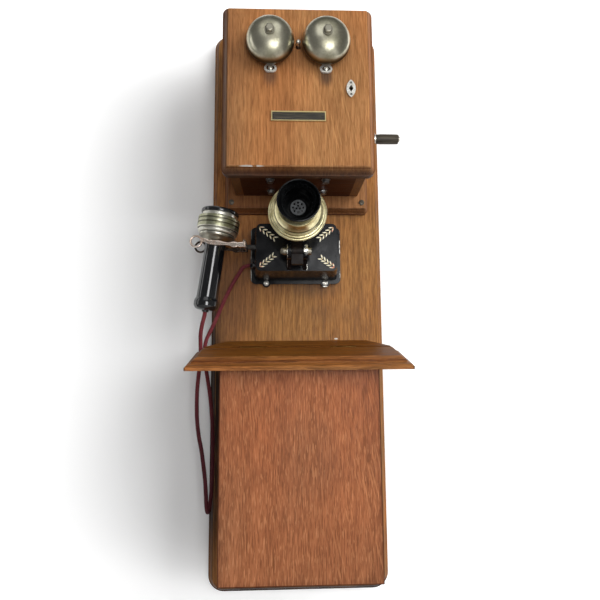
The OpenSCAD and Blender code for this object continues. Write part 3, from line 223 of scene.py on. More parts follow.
def flowing(route, steps):
    """Smooth curve through the route's points: a cubic on each stretch whose slope at a point is
    half the step between its neighbours."""
    padded = np.concatenate([2 * route[:1] - route[1:2], route, 2 * route[-1:] - route[-2:-1]])
    a, b, c, d = padded[:-3, None], padded[1:-2, None], padded[2:-1, None], padded[3:, None]
    t = np.linspace(0, 1, steps, endpoint=False)[None, :, None]
    curve = b + 0.5 * t * (c - a + t * (2 * a - 5 * b + 4 * c - d + t * (3 * (b - c) + d - a)))
    return np.concatenate([curve.reshape(-1, 3), route[-1:]])


def tube(name, material, path, radius, sides):
    """Round tube along a path: at each point a circle across the path's direction, its ends drawn to a point."""
    along = np.gradient(path, axis=0)
    along /= np.linalg.norm(along, axis=1, keepdims=True)
    side = np.cross(along, [0.0, 1.0, 0.01])
    side /= np.linalg.norm(side, axis=1, keepdims=True)
    over = np.cross(side, along)
    angle = np.linspace(0, 2 * np.pi, sides, endpoint=False)[None, :, None]
    rings = path[:, None] + radius * (np.cos(angle) * side[:, None] + np.sin(angle) * over[:, None])
    first, last = [np.repeat(end[None, None], sides, axis=1) for end in (path[0], path[-1])]
    return skin(name, material, np.concatenate([first, rings, last]))


def braided(name, thread, shadow, faded, strands=8, pitch=0.0022):
    """Cotton braid: two sets of slanting strands over each other, the greater of sin(a + l) and sin(a - l) of the
    angle and the length on the UV map, with painted shadow between the strands; faded in patches, and painted in
    shadow where it hangs low below the shelf."""
    material, where = finish(name, Roughness=0.8, Specular_IOR_Level=0.2)
    uv = coordinate(where.tree, "UV")
    across, along = uv.part("X") * (2 * np.pi * strands), uv.part("Y") * (2 * np.pi / pitch)
    height = (across + along).sine().at_least((across - along).sine()).between(-0.6, 0.9)
    worn = where.cloudy(90.0).between(0.45, 0.75, 0.0, 0.30)
    # Painted shadow: darker where the cord hangs low, under the shelf.
    low_shadow = where.part("Z").between(-0.10, -0.22, 0.0, 0.75)
    colour = worn.blend(height.blend(shadow, thread), faded)
    return laid(material, height, 0.0003, Base_Color=low_shadow.blend(colour, shadow))


cord_path = flowing(cord_route, 8)
maroon_braid = braided("maroon_braid", (0.235, 0.042, 0.050), (0.050, 0.008, 0.014), (0.27, 0.075, 0.07))
cord = tube("braided_cord", maroon_braid, cord_path, cord_radius, 16)
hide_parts("receiver_cord")
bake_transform(cord)


# Room. A white wall carries the telephone and takes its soft shadow; it is clear from behind so
# that the back can be seen. A broad lamp stands to the right, a window is in front, a strip of light
# comes from the left, a pale ceiling gives the bright metal something to mirror, and one lamp is behind.
def plane(name, corners):
    """One quadrilateral."""
    mesh = bpy.data.meshes.new(name)
    mesh.from_pydata(corners, [], [(0, 1, 2, 3)])
    made = placed(name, mesh)
    return made


def in_view(tree):
    """1 for what the camera sees, straight or through glass, and 0 for the rest; and the facts of the ray."""
    ray = node(tree, "LightPath").outputs
    return Reading(ray["Is Camera Ray"]).at_least(ray["Is Transmission Ray"]), ray


def plaster(name, white, glow, clear_behind, to_left=0.40, to_right=0.17, to_top=0.43, gap=0.004):
    """White paint with a glow, for the camera only, that takes it to plain white: glow gives the strength in the
    middle and outside a rounded oblong of those reaches. A wall that is clear behind lets light through to what lies
    within the gap, and its glow shows in metal too."""
    material = bpy.data.materials.new(name)
    material.use_nodes = True
    tree = material.node_tree
    tree.nodes.clear()
    seen, ray = in_view(tree)
    shown = seen.at_least(ray["Is Glossy Ray"]) if clear_behind else seen
    where = coordinate(tree)
    x, z = where.part("X"), where.part("Z")
    far = ((x / -to_left).at_least(x / to_right) ** 2.0 + (z / to_top) ** 8.0).root()
    paint = node(tree, "BsdfDiffuse", {"Color": (white, white, white)})
    light = node(tree, "Emission", {"Color": (1, 1, 1), "Strength": shown * far.between(0.50, 1.02, *glow)})
    both = node(tree, "AddShader", {0: paint.outputs[0], 1: light.outputs[0]})
    if clear_behind:
        close = (Reading(ray["Ray Length"]) < gap) * (1.0 - seen)
        behind = close.at_least(node(tree, "NewGeometry").outputs["Backfacing"])
        both = node(tree, "MixShader", {0: behind, 1: both.outputs[0], 2: node(tree, "BsdfTransparent").outputs[0]})
    tree.links.new(both.outputs[0], node(tree, "OutputMaterial").inputs[0])
    return material


def lamp(name, place, aim, width, height, watts, mirrored=True, lighting=True):
    """Flat lamp of that width and height, turned to shine from its place towards a point; it may be left out of
    mirrored light or of scattered light."""
    data = bpy.data.lights.new(name, "AREA")
    data.shape, data.size, data.size_y, data.energy = "RECTANGLE", width, height, watts
    made = placed(name, data)
    turn = (Vector(aim) - Vector(place)).to_track_quat("-Z", "Y").to_matrix().to_4x4()
    made.matrix_world = Matrix.Translation(place) @ turn
    made.visible_glossy, made.visible_diffuse, made.visible_camera = mirrored, lighting, False


wall_y, floor_z = 0.001, -0.75
wall = plane("wall", [(-0.75, wall_y, floor_z), (0.75, wall_y, floor_z), (0.75, wall_y, 0.80), (-0.75, wall_y, 0.80)])
wall.data.materials.append(plaster("wall_paint", 0.90, (0.02, 0.36), True))
floor = plane("floor", [(-1.5, -2.2, floor_z), (1.5, -2.2, floor_z), (1.5, 1.5, floor_z), (-1.5, 1.5, floor_z)])
floor.data.materials.append(plaster("floor_paint", 0.45, (0.60, 0.60), False))
lamp("key", (2.40, -1.85, 1.30), (0, -0.05, 0.0), 2.4, 2.4, 112.0, mirrored=False)
lamp("fill", (0.42, -2.30, -0.05), (0, -0.05, 0.05), 0.75, 1.30, 13.5, mirrored=False)
lamp("window", (0.42, -2.28, -0.05), (0, -0.05, 0.05), 0.75, 1.30, 19.0, lighting=False)
lamp("side", (-1.30, -0.40, 0.35), (0, -0.10, 0.25), 0.16, 1.2, 1.3)
lamp("ceiling", (0.0, -1.90, 1.90), (0, -0.05, 0.1), 1.7, 1.5, 7.0)
lamp("behind", (0.60, 2.20, 0.90), (0, 0, 0), 1.5, 1.5, 60.0)
world = bpy.data.worlds.new("studio")
bpy.context.scene.world = world
world.use_nodes = True
sky, sky_light = world.node_tree, 0.12
background = sky.nodes["Background"]
background.inputs["Color"].default_value = (1, 1, 1, 1)
sky.links.new((in_view(sky)[0] * (1 - sky_light) + sky_light).socket, background.inputs["Strength"])


# Backboard. One oak board, planed and varnished, with a stepped ogee run round its front edge;
# age has browned it and left grime round whatever is screwed to it. Shade is painted round and below the
# base, down its left side beside the receiver and under the shelf, and along its bottom edge.
def point(x, y=0.0, z=0.0):
    """A place put together from its parts, of which x is a reading."""
    return Reading(node(x.tree, "CombineXYZ", {0: x, 1: y, 2: z}).outputs[0])


def grain_space(place, along):
    """Place as (across the grain, through it, along it); a face turned to the side, or to the front of a piece with
    its grain level, takes 0.83 times its depth or height as the distance across."""
    x, y, z = map(place.part, "XYZ")
    facing = coordinate(place.tree, "Normal")
    if along == "Z":
        return point(y * abs(facing.part("X")) * 0.83 + x, y, z)
    return point(z * abs(facing.part("Y")) * 0.83 + y, y, x)


def from_middle(place, centre):
    """How far each point lies to the right of a place on the front, and above it."""
    return place.part("X") - centre[0], place.part("Z") - centre[1]


def edge_distance(place, centre, half):
    """Distance in metres from the outline of an upright rectangle, seen from the front."""
    x, z = from_middle(place, centre)
    return (half[0] - abs(x)).at_most(half[1] - abs(z))


def spot(place, centre, reach):
    """1 at a place on the front and 0 outside an ellipse about it, falling softly; 0 on faces turned to the wall."""
    x, z = from_middle(place, centre)
    far = ((x / reach[0]) ** 2.0 + (z / reach[1]) ** 2.0).root()
    front = coordinate(place.tree, "Normal").part("Y") < 0.5
    return front * far.between(0.2, 1.0, 1.0, 0.0)


def oak(name, tone, along="Z", figure=0.27, flecks=0.3, clear=0.36, outline=None, grime_and_shade=0.4, worn=None, stains_and_shade=(),
        chips=None, fine=1.0, long_rays=None):
    """Varnished oak about a mean tone: fine fibres from dark to light, short dark pores and pale ray flecks, all
    drawn out along the grain; slow changes of depth and redness; grime and painted shade in the ogee towards
    the outline, a line at a distance inside it worn pale and painted as a highlight, with painted shade in the
    quirk outside that, and stains, painted shade and bare chips where they are asked for. A stain or shade mark
    below 0 is pale and one above 1 nearly black. Flecks keep off the share called clear, fine narrows and shortens
    the fibres, and long_rays gives (x where they begin, lean, strength) of thin pale rays that slant across."""
    dark_mark, tar_and_shadow, bare_ground = (0.040, 0.030, 0.027), (0.026, 0.011, 0.006), (0.80, 0.76, 0.70)

    def shade_of(*shares):
        return tuple(min(1.0, share * part) for share, part in zip(shares, tone))

    material, place = finish(name, Specular_IOR_Level=0.14)
    where = grain_space(place, along)
    sway = where.cloudy((8.0, 8.0, 2.5), 1.0) * 0.02
    swayed = point(where.part("X") + sway, where.part("Y"), where.part("Z"))
    fibres = swayed.cloudy((400.0 * fine, 130.0, 24.0 * fine), 3.0, 0.68)
    rings = swayed.cloudy((75.0, 40.0, 3.5))
    pore = swayed.cloudy((900.0, 280.0, 75.0), 1.0).between(0.56, 0.66)
    rays = swayed.cloudy((760.0, 200.0, 42.0 * fine), 1.0, 0.5, 0.5)
    patches = where.cloudy((9.0, 9.0, 4.0), 1.0)
    blotches = where.cloudy((10.0, 10.0, 5.5), 3.0, 0.6)
    low, high = 1 - figure, 1 + figure
    streak = ((rings - 0.5) * 0.30 + fibres).between(0.28, 0.72)
    colour = streak.blend(shade_of(low, low - 0.04, low - 0.08), shade_of(high, high + 0.03, high + 0.06))
    colour = (pore * (1.2 * figure)).blend(colour, shade_of(0.40, 0.34, 0.30))
    fleck = rays.between(0.57, 0.66) * patches.between(clear, clear + 0.24)
    colour = (fleck * flecks).blend(colour, shade_of(1.8, 2.2, 2.4))
    if long_rays:
        begin, slant, strength = long_rays
        x, z = where.part("X"), where.part("Z")
        thin = point(z * slant + x, 0.0, z).cloudy((360.0, 1.0, 19.0), 2.0, 0.5, 0.8).between(0.60, 0.66)
        colour = (thin * x.between(begin, begin + 0.05, 0.0, strength)).blend(colour, shade_of(1.9, 2.3, 2.4))
    colour = colour.tinted(patches.between(0.3, 0.7).blend((1.05, 0.96, 0.90), (0.96, 1.03, 1.08)))
    # Darker towards the outline: grime, and painted shade in the ogee moulding.
    if outline:
        rim = edge_distance(place, *outline)
        edge = (blotches - 0.5) * 0.009 + rim
        colour = colour.tinted(edge.between(0.002, 0.010, grime_and_shade, 0.0).blend((1, 1, 1), (0.22, 0.12, 0.09)))
    colour = colour.tinted(blotches.between(0.3, 0.72, 0.86, 1.12))
    # Stains and painted shade: real stains, and shade painted round and under parts that stand off the front.
    for centre, reach, strength in stains_and_shade:
        dirt_and_shade = spot(place, centre, reach) * blotches.between(0.25, 0.6, 0.55, 1.0)
        mark = shade_of(1.7, 1.9, 1.8) if strength < 0 else tar_and_shadow if strength > 1 else dark_mark
        colour = (dirt_and_shade * abs(strength)).blend(colour, mark)
    ragged = where.cloudy((70.0, 70.0, 30.0), 3.0)
    # A painted highlight on the worn edge of the moulding, and painted shade in its quirk.
    if worn:
        inset, strength = worn
        line = abs(rim - inset).between(0.0002, 0.0009, strength, 0.0)
        colour = (line * ragged.between(0.35, 0.6)).blend(colour, shade_of(1.8, 2.2, 2.6))
        quirk_shade = abs(rim - 0.79 * inset).between(0.0002, 0.0011, 1.6 * strength, 0.0)
        colour = quirk_shade.blend(colour, shade_of(0.16, 0.11, 0.09))
    if chips:
        colour = (spot(place, *chips).between(0.15, 0.5) * ragged.between(0.36, 0.46)).blend(colour, bare_ground)
    rough = (blotches * 0.6 + fibres).between(0.5, 1.1, 0.40, 0.60)
    return laid(material, fibres * 0.4 - pore, 0.00012, Base_Color=colour, Roughness=rough)


def dress(material, *names):
    """Gives CAD nodes a material."""
    for name in names:
        nodes[name].data.materials.clear()
        nodes[name].data.materials.append(material)


def front_outline(name):
    """Middle and half sizes of a CAD node seen from the front."""
    low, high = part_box(name)
    return ((low.x + high.x) / 2, (low.z + high.z) / 2), ((high.x - low.x) / 2, (high.z - low.z) / 2)


base_centre, base_half = front_outline("transmitter_base")
base_x, base_z = base_centre
# Grime and painted shade round the base; painted shade on the left and along the bottom edge; one pale streak.
board_stains_and_shade = [((base_x - 0.03, base_z), (1.45 * base_half[0], 1.3 * base_half[1]), 0.55),
                ((base_x + 0.03, base_z - 0.95 * base_half[1]), (0.052, 0.026), 0.45),
                ((base_x + 0.05, base_z - 0.085), (0.06, 0.022), 0.18),
                ((-0.120, base_z - 0.070), (0.075, 0.110), 0.50),
                ((base_x - 0.05, base_z - 0.075), (0.011, 0.060), -0.25),
                ((-0.126, -0.205), (0.026, 0.27), 1.5), ((0.0, -0.4140), (0.40, 0.017), 1.2)]
# Painted shade in the ogee round the outline, and a painted highlight along its worn edge.
dress(oak("board_oak", (0.322, 0.139, 0.041), figure=0.36, flecks=0.2, outline=front_outline("backboard"), grime_and_shade=0.30,
          worn=(0.008, 0.35), stains_and_shade=board_stains_and_shade, chips=((0.0570, -0.0650), (0.0036, 0.0017))), "backboard")


# Magneto box. An ogee-edged back panel carries a box of four plain boards; the door closes it.
# The boards are stained darker than the door, and their underside is painted nearly black as shade.
# Painted shade in the panel's ogee, and a painted highlight along its worn edge.
dress(oak("panel_oak", (0.270, 0.115, 0.042), flecks=0.15, outline=front_outline("magneto_back_panel"), grime_and_shade=0.5,
          worn=(0.0065, 0.3)), "magneto_back_panel")
dress(oak("box_oak", (0.170, 0.068, 0.023), flecks=0.15), "magneto_left_side", "magneto_right_side")
dress(oak("box_end_shaded_oak", (0.052, 0.012, 0.0027), "X", flecks=0.1), "magneto_top", "magneto_bottom")


# Bell door. A flat oak panel with an ogee edge; grime has run down below the gong brackets, grime and
# painted shade ring the gongs, and shade is painted down the left side, in the keyhole and along the bottom
# moulding; a strip of its lower edge is chipped to bare ground.
gong_centres = [front_outline("left_gong")[0], front_outline("right_gong")[0]]
gong_radius = front_outline("left_gong")[1][0]
door_centre, door_half = front_outline("bell_door")
door_x, door_z = door_centre
door_foot = door_z - door_half[1]
key_centre, key_half = front_outline("keyhole_escutcheon")
# Grime below the brackets; grime and painted shade round the gongs; painted shade at the left, keyhole and foot.
door_stains_and_shade = [((x, z - 1.32 * gong_radius), (0.42 * gong_radius, 0.62 * gong_radius), 0.75) for x, z in gong_centres]
door_stains_and_shade += [((x, z), (1.35 * gong_radius, 1.35 * gong_radius), 0.60) for x, z in gong_centres]
door_stains_and_shade += [((door_x - 1.05 * door_half[0], door_z), (0.055, 0.30), 0.30), (key_centre, key_half, 1.0),
                ((door_x, door_foot - 0.001), (0.40, 0.0115), 0.65)]
# Painted shade in the ogee round the outline, and a painted highlight with a shaded quirk along its edge.
dress(oak("door_oak", (0.385, 0.163, 0.056), figure=0.30, flecks=0.20, outline=(door_centre, door_half), grime_and_shade=0.70,
          worn=(0.009, 0.4), stains_and_shade=door_stains_and_shade, chips=((door_x - 0.060, door_foot + 0.0086), (0.022, 0.0011)),
          long_rays=(door_x - 0.04, 0.20, 0.22)), "bell_door")


# Hinges, lock and other bare metal. Cast and pressed brass that has dulled to a brown-yellow, turned
# and pressed steel, and the grey iron of the generator's poles.
def metal(name, clean, tarnish, roughness=(0.25, 0.5), spread=55.0, cover=(0.38, 0.68), dark_above=None, shine=1.0,
          shaded_hollows=(), shaded_behind=None):
    """Worn metal: bright where it is rubbed, tarnished in clouds, with fine scratches and a rougher tarnish; shine is
    the metallic share, less than 1 where a film of dirt scatters the light, and a list of (middle, reach) gives
    hollows painted black as shade. What lies above dark_above is given the tarnished colour, and what lies behind a
    given depth is painted dark brown as shade."""
    dark_mark, rear_shade = (0.012, 0.011, 0.010), (0.060, 0.040, 0.030)
    material, where = finish(name, Metallic=shine)
    clouds, fine = where.cloudy(spread, 4.0, 0.62), where.cloudy(900.0)
    dull = (fine * 0.18 + clouds).between(cover[0] + 0.09, cover[1] + 0.09)
    if dark_above:
        dull = dull.at_least(where.part("Z").between(dark_above, dark_above + 0.005))
    colour = dull.blend(clean, tarnish)
    # Painted shade: hollows turn black, and what lies behind turns dark brown.
    for hollow in shaded_hollows:
        colour = spot(where, *hollow).between(0.15, 0.45).blend(colour, dark_mark)
    if shaded_behind:
        colour = where.part("Y").between(shaded_behind, shaded_behind + 0.010).blend(colour, rear_shade)
    rough = dull * (roughness[1] - roughness[0]) + roughness[0]
    return laid(material, fine, 0.000004, Base_Color=colour, Roughness=rough)


dress(metal("aged_brass", (0.62, 0.44, 0.16), (0.24, 0.16, 0.06)), "hinge_case_leaves", "door_hinge_leaves",
      "lid_hinge_leaves", "door_lock", "lock_bolt", "crank_bush", "generator_frame", "drive_gear",
      "hook_contact_springs")
dress(metal("dull_steel", (0.42, 0.42, 0.42), (0.15, 0.14, 0.13)), "hinge_pins", "crank_shaft", "generator_armature",
      "armature_pinion", "hook_pivot_stud", "ringer_frame", "transmitter_diaphragm", "receiver_diaphragm",
      "receiver_magnet", "generator_bolts")
iron = metal("grey_iron", (0.13, 0.13, 0.13), (0.06, 0.055, 0.05), (0.45, 0.7))
dress(iron, "generator_poles")


# Nickelled fittings. Screws, brackets, clapper and crank arm are plated brass or steel, worn
# yellowish at the edges and grey in the hollows; the screws of the back panel are darker, and the slot in each
# bracket lug is painted black as shade.
satin, patchy = (0.24, 0.42), (0.45, 0.75)
dress(metal("worn_nickel", (0.86, 0.84, 0.77), (0.45, 0.42, 0.34), satin, 110.0, patchy, shine=0.85),
      "crank_arm", "clapper")
# Painted shade: the slot in each bracket lug is painted black.
shaded_slots = [((x, z - 0.032), (0.0075, 0.0044)) for x, z in gong_centres]
dress(metal("bracket_nickel", (0.90, 0.88, 0.82), (0.55, 0.52, 0.44), satin, 110.0, (0.50, 0.80), shine=0.5,
            shaded_hollows=shaded_slots), "gong_brackets")
dress(metal("bolt_nickel", (0.42, 0.39, 0.31), (0.17, 0.15, 0.11), (0.40, 0.52), 150.0), "transmitter_pivot_bolt")
dress(metal("bell_screw_nickel", (0.74, 0.72, 0.64), (0.36, 0.34, 0.27), satin, 110.0, patchy, dark_above=0.295,
            shine=0.7), "bell_screws")
dress(metal("screw_nickel", (0.72, 0.70, 0.64), (0.12, 0.10, 0.075), (0.20, 0.5), 110.0, patchy, dark_above=0.11,
            shine=0.6), "case_screws")


# Escutcheon. A pointed nickel plate held to the door by two pins, above and below
# a diamond keyhole that is painted black inside as shade.
def colour_on(material):
    """The colour that a material has so far."""
    return Reading(material.node_tree.nodes["Principled BSDF"].inputs["Base Color"].links[0].from_socket)


def keyhole_plate(name, centre, half, pin=0.0024):
    """Worn nickel; painted black as the keyhole's shade where |x| + 0.62 |z| from the middle is under the diamond's
    half width, and dark round two pins two thirds of the half height above and below it."""
    material = metal(name, (0.84, 0.82, 0.76), (0.46, 0.43, 0.36), (0.26, 0.42), 160.0, (0.42, 0.72), shine=0.6)
    tone = colour_on(material)
    where = coordinate(tone.tree)
    x, z = from_middle(where, centre)
    # Painted shade: the keyhole is painted black.
    hole = (abs(z) * 0.62 + abs(x)).between(0.0027, 0.0032, 1.0, 0.0)
    for rise in (-0.66, 0.66):
        hole = hole.at_least(spot(where, (centre[0], centre[1] + rise * half[1]), (pin, pin)) * 0.9)
    return laid(material, Base_Color=hole.blend(tone, (0.004, 0.004, 0.004)))


dress(keyhole_plate("plate_nickel", key_centre, key_half), "keyhole_escutcheon")


# Nameplate. A small brass plate with a bright border; its sunk field is plain dark enamel, brushed
# on and left bare.
def enamelled_plate(name, border):
    """Brass near the plate's outline, dark enamel further in, both brushed lengthwise."""
    material, where = finish(name, Roughness=0.38)
    brushed = where.cloudy((60.0, 60.0, 900.0), 3.0)
    field = edge_distance(where, *front_outline("nameplate")).between(border, border + 0.0003)
    brass = where.cloudy(120.0).blend((0.86, 0.74, 0.40), (0.60, 0.48, 0.22))
    dark = brushed.between(0.35, 0.7).blend((0.014, 0.013, 0.011), (0.060, 0.050, 0.030))
    return laid(material, brushed, 0.00004, Base_Color=field.blend(brass, dark), Metallic=1.0 - field)


dress(enamelled_plate("plate_enamel", 0.0012), "nameplate")


# Gongs. Spun bell-metal domes, nickelled, with turning lines round them; the plate has gone
# olive-grey in clouds, and the rim is darkened with dirt and painted shade. Each hangs by its crown from the post
# of its bracket.
def softened(profile, cut):
    """Profile with each inner corner turned into a short curve: a parabola between the points cut before and
    after it, and one more point on each side that keeps the long faces flat."""
    p = np.array(profile, float)
    before, corner, after = p[:-2, None], p[1:-1, None], p[2:, None]
    back, on = [leg * np.minimum(cut / np.maximum(np.linalg.norm(leg, axis=2, keepdims=True), 1e-9), 0.3)
                for leg in (before - corner, after - corner)]
    t = np.linspace(0, 1, 5)[None, :, None]
    curve = (1 - t) ** 2 * (corner + back) + 2 * t * (1 - t) * corner + t**2 * (corner + on)
    bends = np.concatenate([corner + 1.5 * back, curve, corner + 1.5 * on], 1)
    return np.concatenate([p[:1], bends.reshape(-1, 2), p[-1:]])


def lathe(profile, place, turn, steps=128):
    """Grid of a turned piece: each (radius, height) of its profile makes a circle about the height axis, set in place
    by a 3 by 3 turn."""
    angle = np.linspace(0, 2 * np.pi, steps, endpoint=False)[None, :]
    radius, height = np.array(profile, float).T[:, :, None]
    local = np.stack([radius * np.cos(angle), radius * np.sin(angle), height + 0 * angle], -1)
    return local @ np.array(turn, float).T + np.array(place, float)


def turned_metal(name, clean, tarnish, hollow, roughness, lines=0.00055, cloud=38.0):
    """Spun metal: turning lines along the profile, clouds of tarnish, and dark bands where the profile's length says:
    dirt in a ring's hollow, and dirt with painted shade at a gong's rim. hollow lists (middle, half width) along the
    profile, in metres."""
    material, where = finish(name, Metallic=1.0)
    run = coordinate(where.tree, "UV").part("Y")
    specks = where.cloudy(420.0)
    dull = (specks * 0.14 + where.cloudy(cloud, 4.0, 0.6)).between(0.42, 0.78)
    colour = dull.blend(clean, tarnish)
    for middle, half in hollow:
        near = abs(run - middle).between(half * 0.3, half, 0.95, 0.0)
        colour = near.blend(colour, [0.16 * part for part in tarnish])
    rough = dull * (roughness[1] - roughness[0]) + roughness[0]
    wave = (run * (2 * np.pi / lines)).sine()
    return laid(material, specks * 0.8 + wave * 0.25, 0.000005, Base_Color=colour, Roughness=rough)


def dome(radius, height):
    """Quarter of a superellipse from the rim to the crown."""
    sweep = np.radians(np.linspace(0, 88.5, 40))
    return np.stack([radius * np.cos(sweep) ** 0.8, height * np.sin(sweep) ** 0.9], 1)


out_of_wall = ((1, 0, 0), (0, 0, -1), (0, 1, 0))
gong_wall, gong_hole, rim_round = 0.0016, 0.0021, 0.0003
# The dark band at the rim is dirt with painted shade.
gong_nickel = turned_metal("gong_nickel", (0.76, 0.73, 0.57), (0.42, 0.40, 0.28), [(0.002, 0.010)], (0.28, 0.40))
for side in ("left", "right"):
    low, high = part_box(side + "_gong")
    crown = high.y - low.y
    outer, inner = dome(gong_radius, crown), dome(gong_radius - gong_wall, crown - gong_wall)
    hole = [[gong_hole, crown], [gong_hole, crown - gong_wall]]
    profile = np.concatenate([inner[:1], [[gong_radius - rim_round, 0.0]], outer[1:], hole, inner[::-1]])
    place = ((low.x + high.x) / 2, high.y, (low.z + high.z) / 2)
    gong = skin(side + "_bell", gong_nickel, lathe(profile, place, out_of_wall))
    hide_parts(side + "_gong")
    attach(gong, "bell_door")


# Ringer and generator. Spools wound with covered wire under a dark silk, and steel magnet bars
# with red enamel brushed on.
def wound(name, thread, gap, pitch):
    """Close turns of covered wire round an upright or lying spool: fine ribs across the coil's length, with painted
    shade in the gaps between turns.
    """
    material, where = finish(name, Roughness=0.6)
    rib = ((where.part("X") + where.part("Z")) * (2 * np.pi / pitch)).sine()
    height = (where.cloudy(300.0) * 0.8 + rib).between(-0.6, 1.4)
    return laid(material, height, 0.0002, Base_Color=height.blend(gap, thread))


def enamel(name, colour, chipped, gloss=(0.25, 0.5), specular=0.5):
    """Brushed enamel: slight orange peel, dust clouds in the gloss, and chips down to the ground."""
    material, where = finish(name, Specular_IOR_Level=specular)
    dust, peel = where.cloudy(70.0, 4.0, 0.6), where.cloudy(650.0)
    worn = (peel * 0.2 + dust).between(0.70, 0.78)
    return laid(material, peel, 0.00006, Base_Color=worn.blend(colour, chipped),
                Roughness=dust.between(0.3, 0.7, *gloss))


dress(wound("coil_silk", (0.20, 0.055, 0.035), (0.05, 0.012, 0.008), 0.0009), "ringer_coils", "induction_coil")
dress(enamel("magnet_enamel", (0.30, 0.035, 0.025), (0.16, 0.12, 0.10)), "generator_magnets", "ringer_magnet")


# Crank handle. A turned grip of close-grained wood, stained dark and rubbed by the hand, that spins
# on its pin at the end of the crank arm.
def dark_wood(name, ground, figure):
    """Close-grained stained wood, rubbed lighter in streaks along X."""
    material, where = finish(name, Specular_IOR_Level=0.4)
    streak = where.cloudy((45.0, 500.0, 500.0), 3.0)
    return laid(material, streak, 0.0001, Base_Color=streak.between(0.35, 0.7).blend(ground, figure),
                Roughness=streak.between(0.3, 0.7, 0.38, 0.6))


low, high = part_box("crank_handle")
grip, bore, length = (high.z - low.z) / 2, 0.00255, high.x - low.x
crank_profile = [(bore, 0), (0.8 * grip, 0), (0.93 * grip, 0.001), (grip, 0.007), (grip, length - 0.006),
                 (0.97 * grip, length - 0.001), (0.88 * grip, length), (bore, length), (bore, 0)]
to_the_right = ((0, 0, 1), (0, 1, 0), (-1, 0, 0))
crank_place = (low.x, (low.y + high.y) / 2, (low.z + high.z) / 2)
grip_wood = dark_wood("grip_wood", (0.030, 0.024, 0.015), (0.085, 0.072, 0.048))
handle = skin("crank_grip", grip_wood, lathe(softened(crank_profile, 0.0006), crank_place, to_the_right))
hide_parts("crank_handle")
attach(handle, "crank_handle")


# Transmitter base. A black-japanned iron casting; its front carries a spray of gilt leaves in
# each corner, and the enamel is rubbed to bare iron along its cheeks and edges, pale lines that are also
# painted highlights.
def japanned(name, black, bare, patches):
    """Glossy black enamel with slight orange peel, rubbed through to bright iron in soft-edged patches, which also
    serve as painted highlights; each patch is a place and a reach seen from the front, and fine ribs run across it;
    the edge of the flange is rubbed and painted with a highlight here and there, and all of it only on faces turned
    to the room."""
    material, where = finish(name, Specular_IOR_Level=0.17)
    dust, peel = where.cloudy(70.0, 4.0, 0.6), where.cloudy(650.0)
    rubbed = spot(where, *patches[0])
    for patch in patches[1:]:
        rubbed = rubbed.at_least(spot(where, *patch))
    rubbed = rubbed.between(0.1, 0.6) * where.cloudy((160.0, 160.0, 900.0)).between(0.36, 0.58)
    rim = abs(edge_distance(where, base_centre, base_half) - 0.0008).between(0.0002, 0.0009, 0.7, 0.0)
    rubbed = rubbed.at_least(rim * dust.between(0.45, 0.6)) * (coordinate(where.tree, "Normal").part("Y") < -0.3)
    return laid(material, peel, 0.00003, Base_Color=rubbed.blend(black, bare), Metallic=rubbed,
                Roughness=dust.between(0.3, 0.7, 0.12, 0.26))


face_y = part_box("backboard")[0].y - 0.062
cheek_z = base_z - 0.0105
# Bare iron and painted highlights: a patch on the right cheek, thin lines down the cheeks' and flange's edges.
rubbed_and_lit_patches = [((base_x + 0.0115, cheek_z), (0.0045, 0.0095)), ((base_x - 0.0128, cheek_z - 0.004), (0.0008, 0.020)),
                  ((base_x + 0.0139, cheek_z - 0.018), (0.0008, 0.009)),
                  ((base_x + 0.0565, base_z - 0.002), (0.0009, 0.034)),
                  ((base_x - 0.0560, base_z + 0.004), (0.0006, 0.030))]
dress(japanned("black_japan", (0.0075, 0.0078, 0.0090), (0.62, 0.60, 0.54), rubbed_and_lit_patches), "transmitter_base")
dress(enamel("arm_enamel", (0.010, 0.007, 0.006), (0.028, 0.019, 0.014), (0.28, 0.48), specular=0.12),
      "transmitter_arm")
leaf_length, leaf_width, leaf_rise, leaf_lean = 0.0072, 0.0019, 0.00025, 34.0
sprays = mm * np.array([[[-53, 29.5], [-27, 10]], [[52.5, 29], [29, 10]], [[-52.5, -28.5], [-29, -10]],
                        [[53, -30], [31, -13.5]]])


def leaf_spray(name, material, ends, pairs):
    """Pairs of leaves on a straight stem. A leaf is a grid (u, v): it runs u times its length from the stem, is
    sin(pi u) times its width across and rises 1 - v squared times its height from the face."""
    stem = ends[:, 1] - ends[:, 0]
    share = np.linspace(0.08, 0.80, pairs)[None, :, None, None]
    root = ends[:, 0][:, None, None] + share * stem[:, None, None]
    x, z = (stem / np.linalg.norm(stem, axis=1, keepdims=True)).T[:, :, None, None]
    lean = np.radians([leaf_lean, -leaf_lean])[None, None, :]
    heading = np.stack([x * np.cos(lean) - z * np.sin(lean), x * np.sin(lean) + z * np.cos(lean)], -1)
    heading, root = [np.broadcast_to(part, (len(ends), pairs, 2, 2)).reshape(-1, 2) for part in (heading, root)]
    across = np.stack([-heading[:, 1], heading[:, 0]], 1)
    u, v = np.meshgrid(np.linspace(0, 1, 9), np.linspace(-1, 1, 5), indexing="ij")
    wide = leaf_width / 2 * np.sin(np.pi * u) ** 0.8 * v
    flat = root[:, None, None] + leaf_length * u[..., None] * heading[:, None, None]
    flat = flat + wide[..., None] * across[:, None, None]
    rise = np.broadcast_to(leaf_rise * (0.25 + np.sin(np.pi * u) * (1 - v**2)), flat.shape[:3])
    top, under = [np.stack([flat[..., 0], -lift, flat[..., 1]], -1) for lift in (rise, 0 * rise)]
    points = np.concatenate([top, under[:, :, ::-1]], 2) + np.array([base_x, face_y, base_z])
    return skin(name, material, *points)


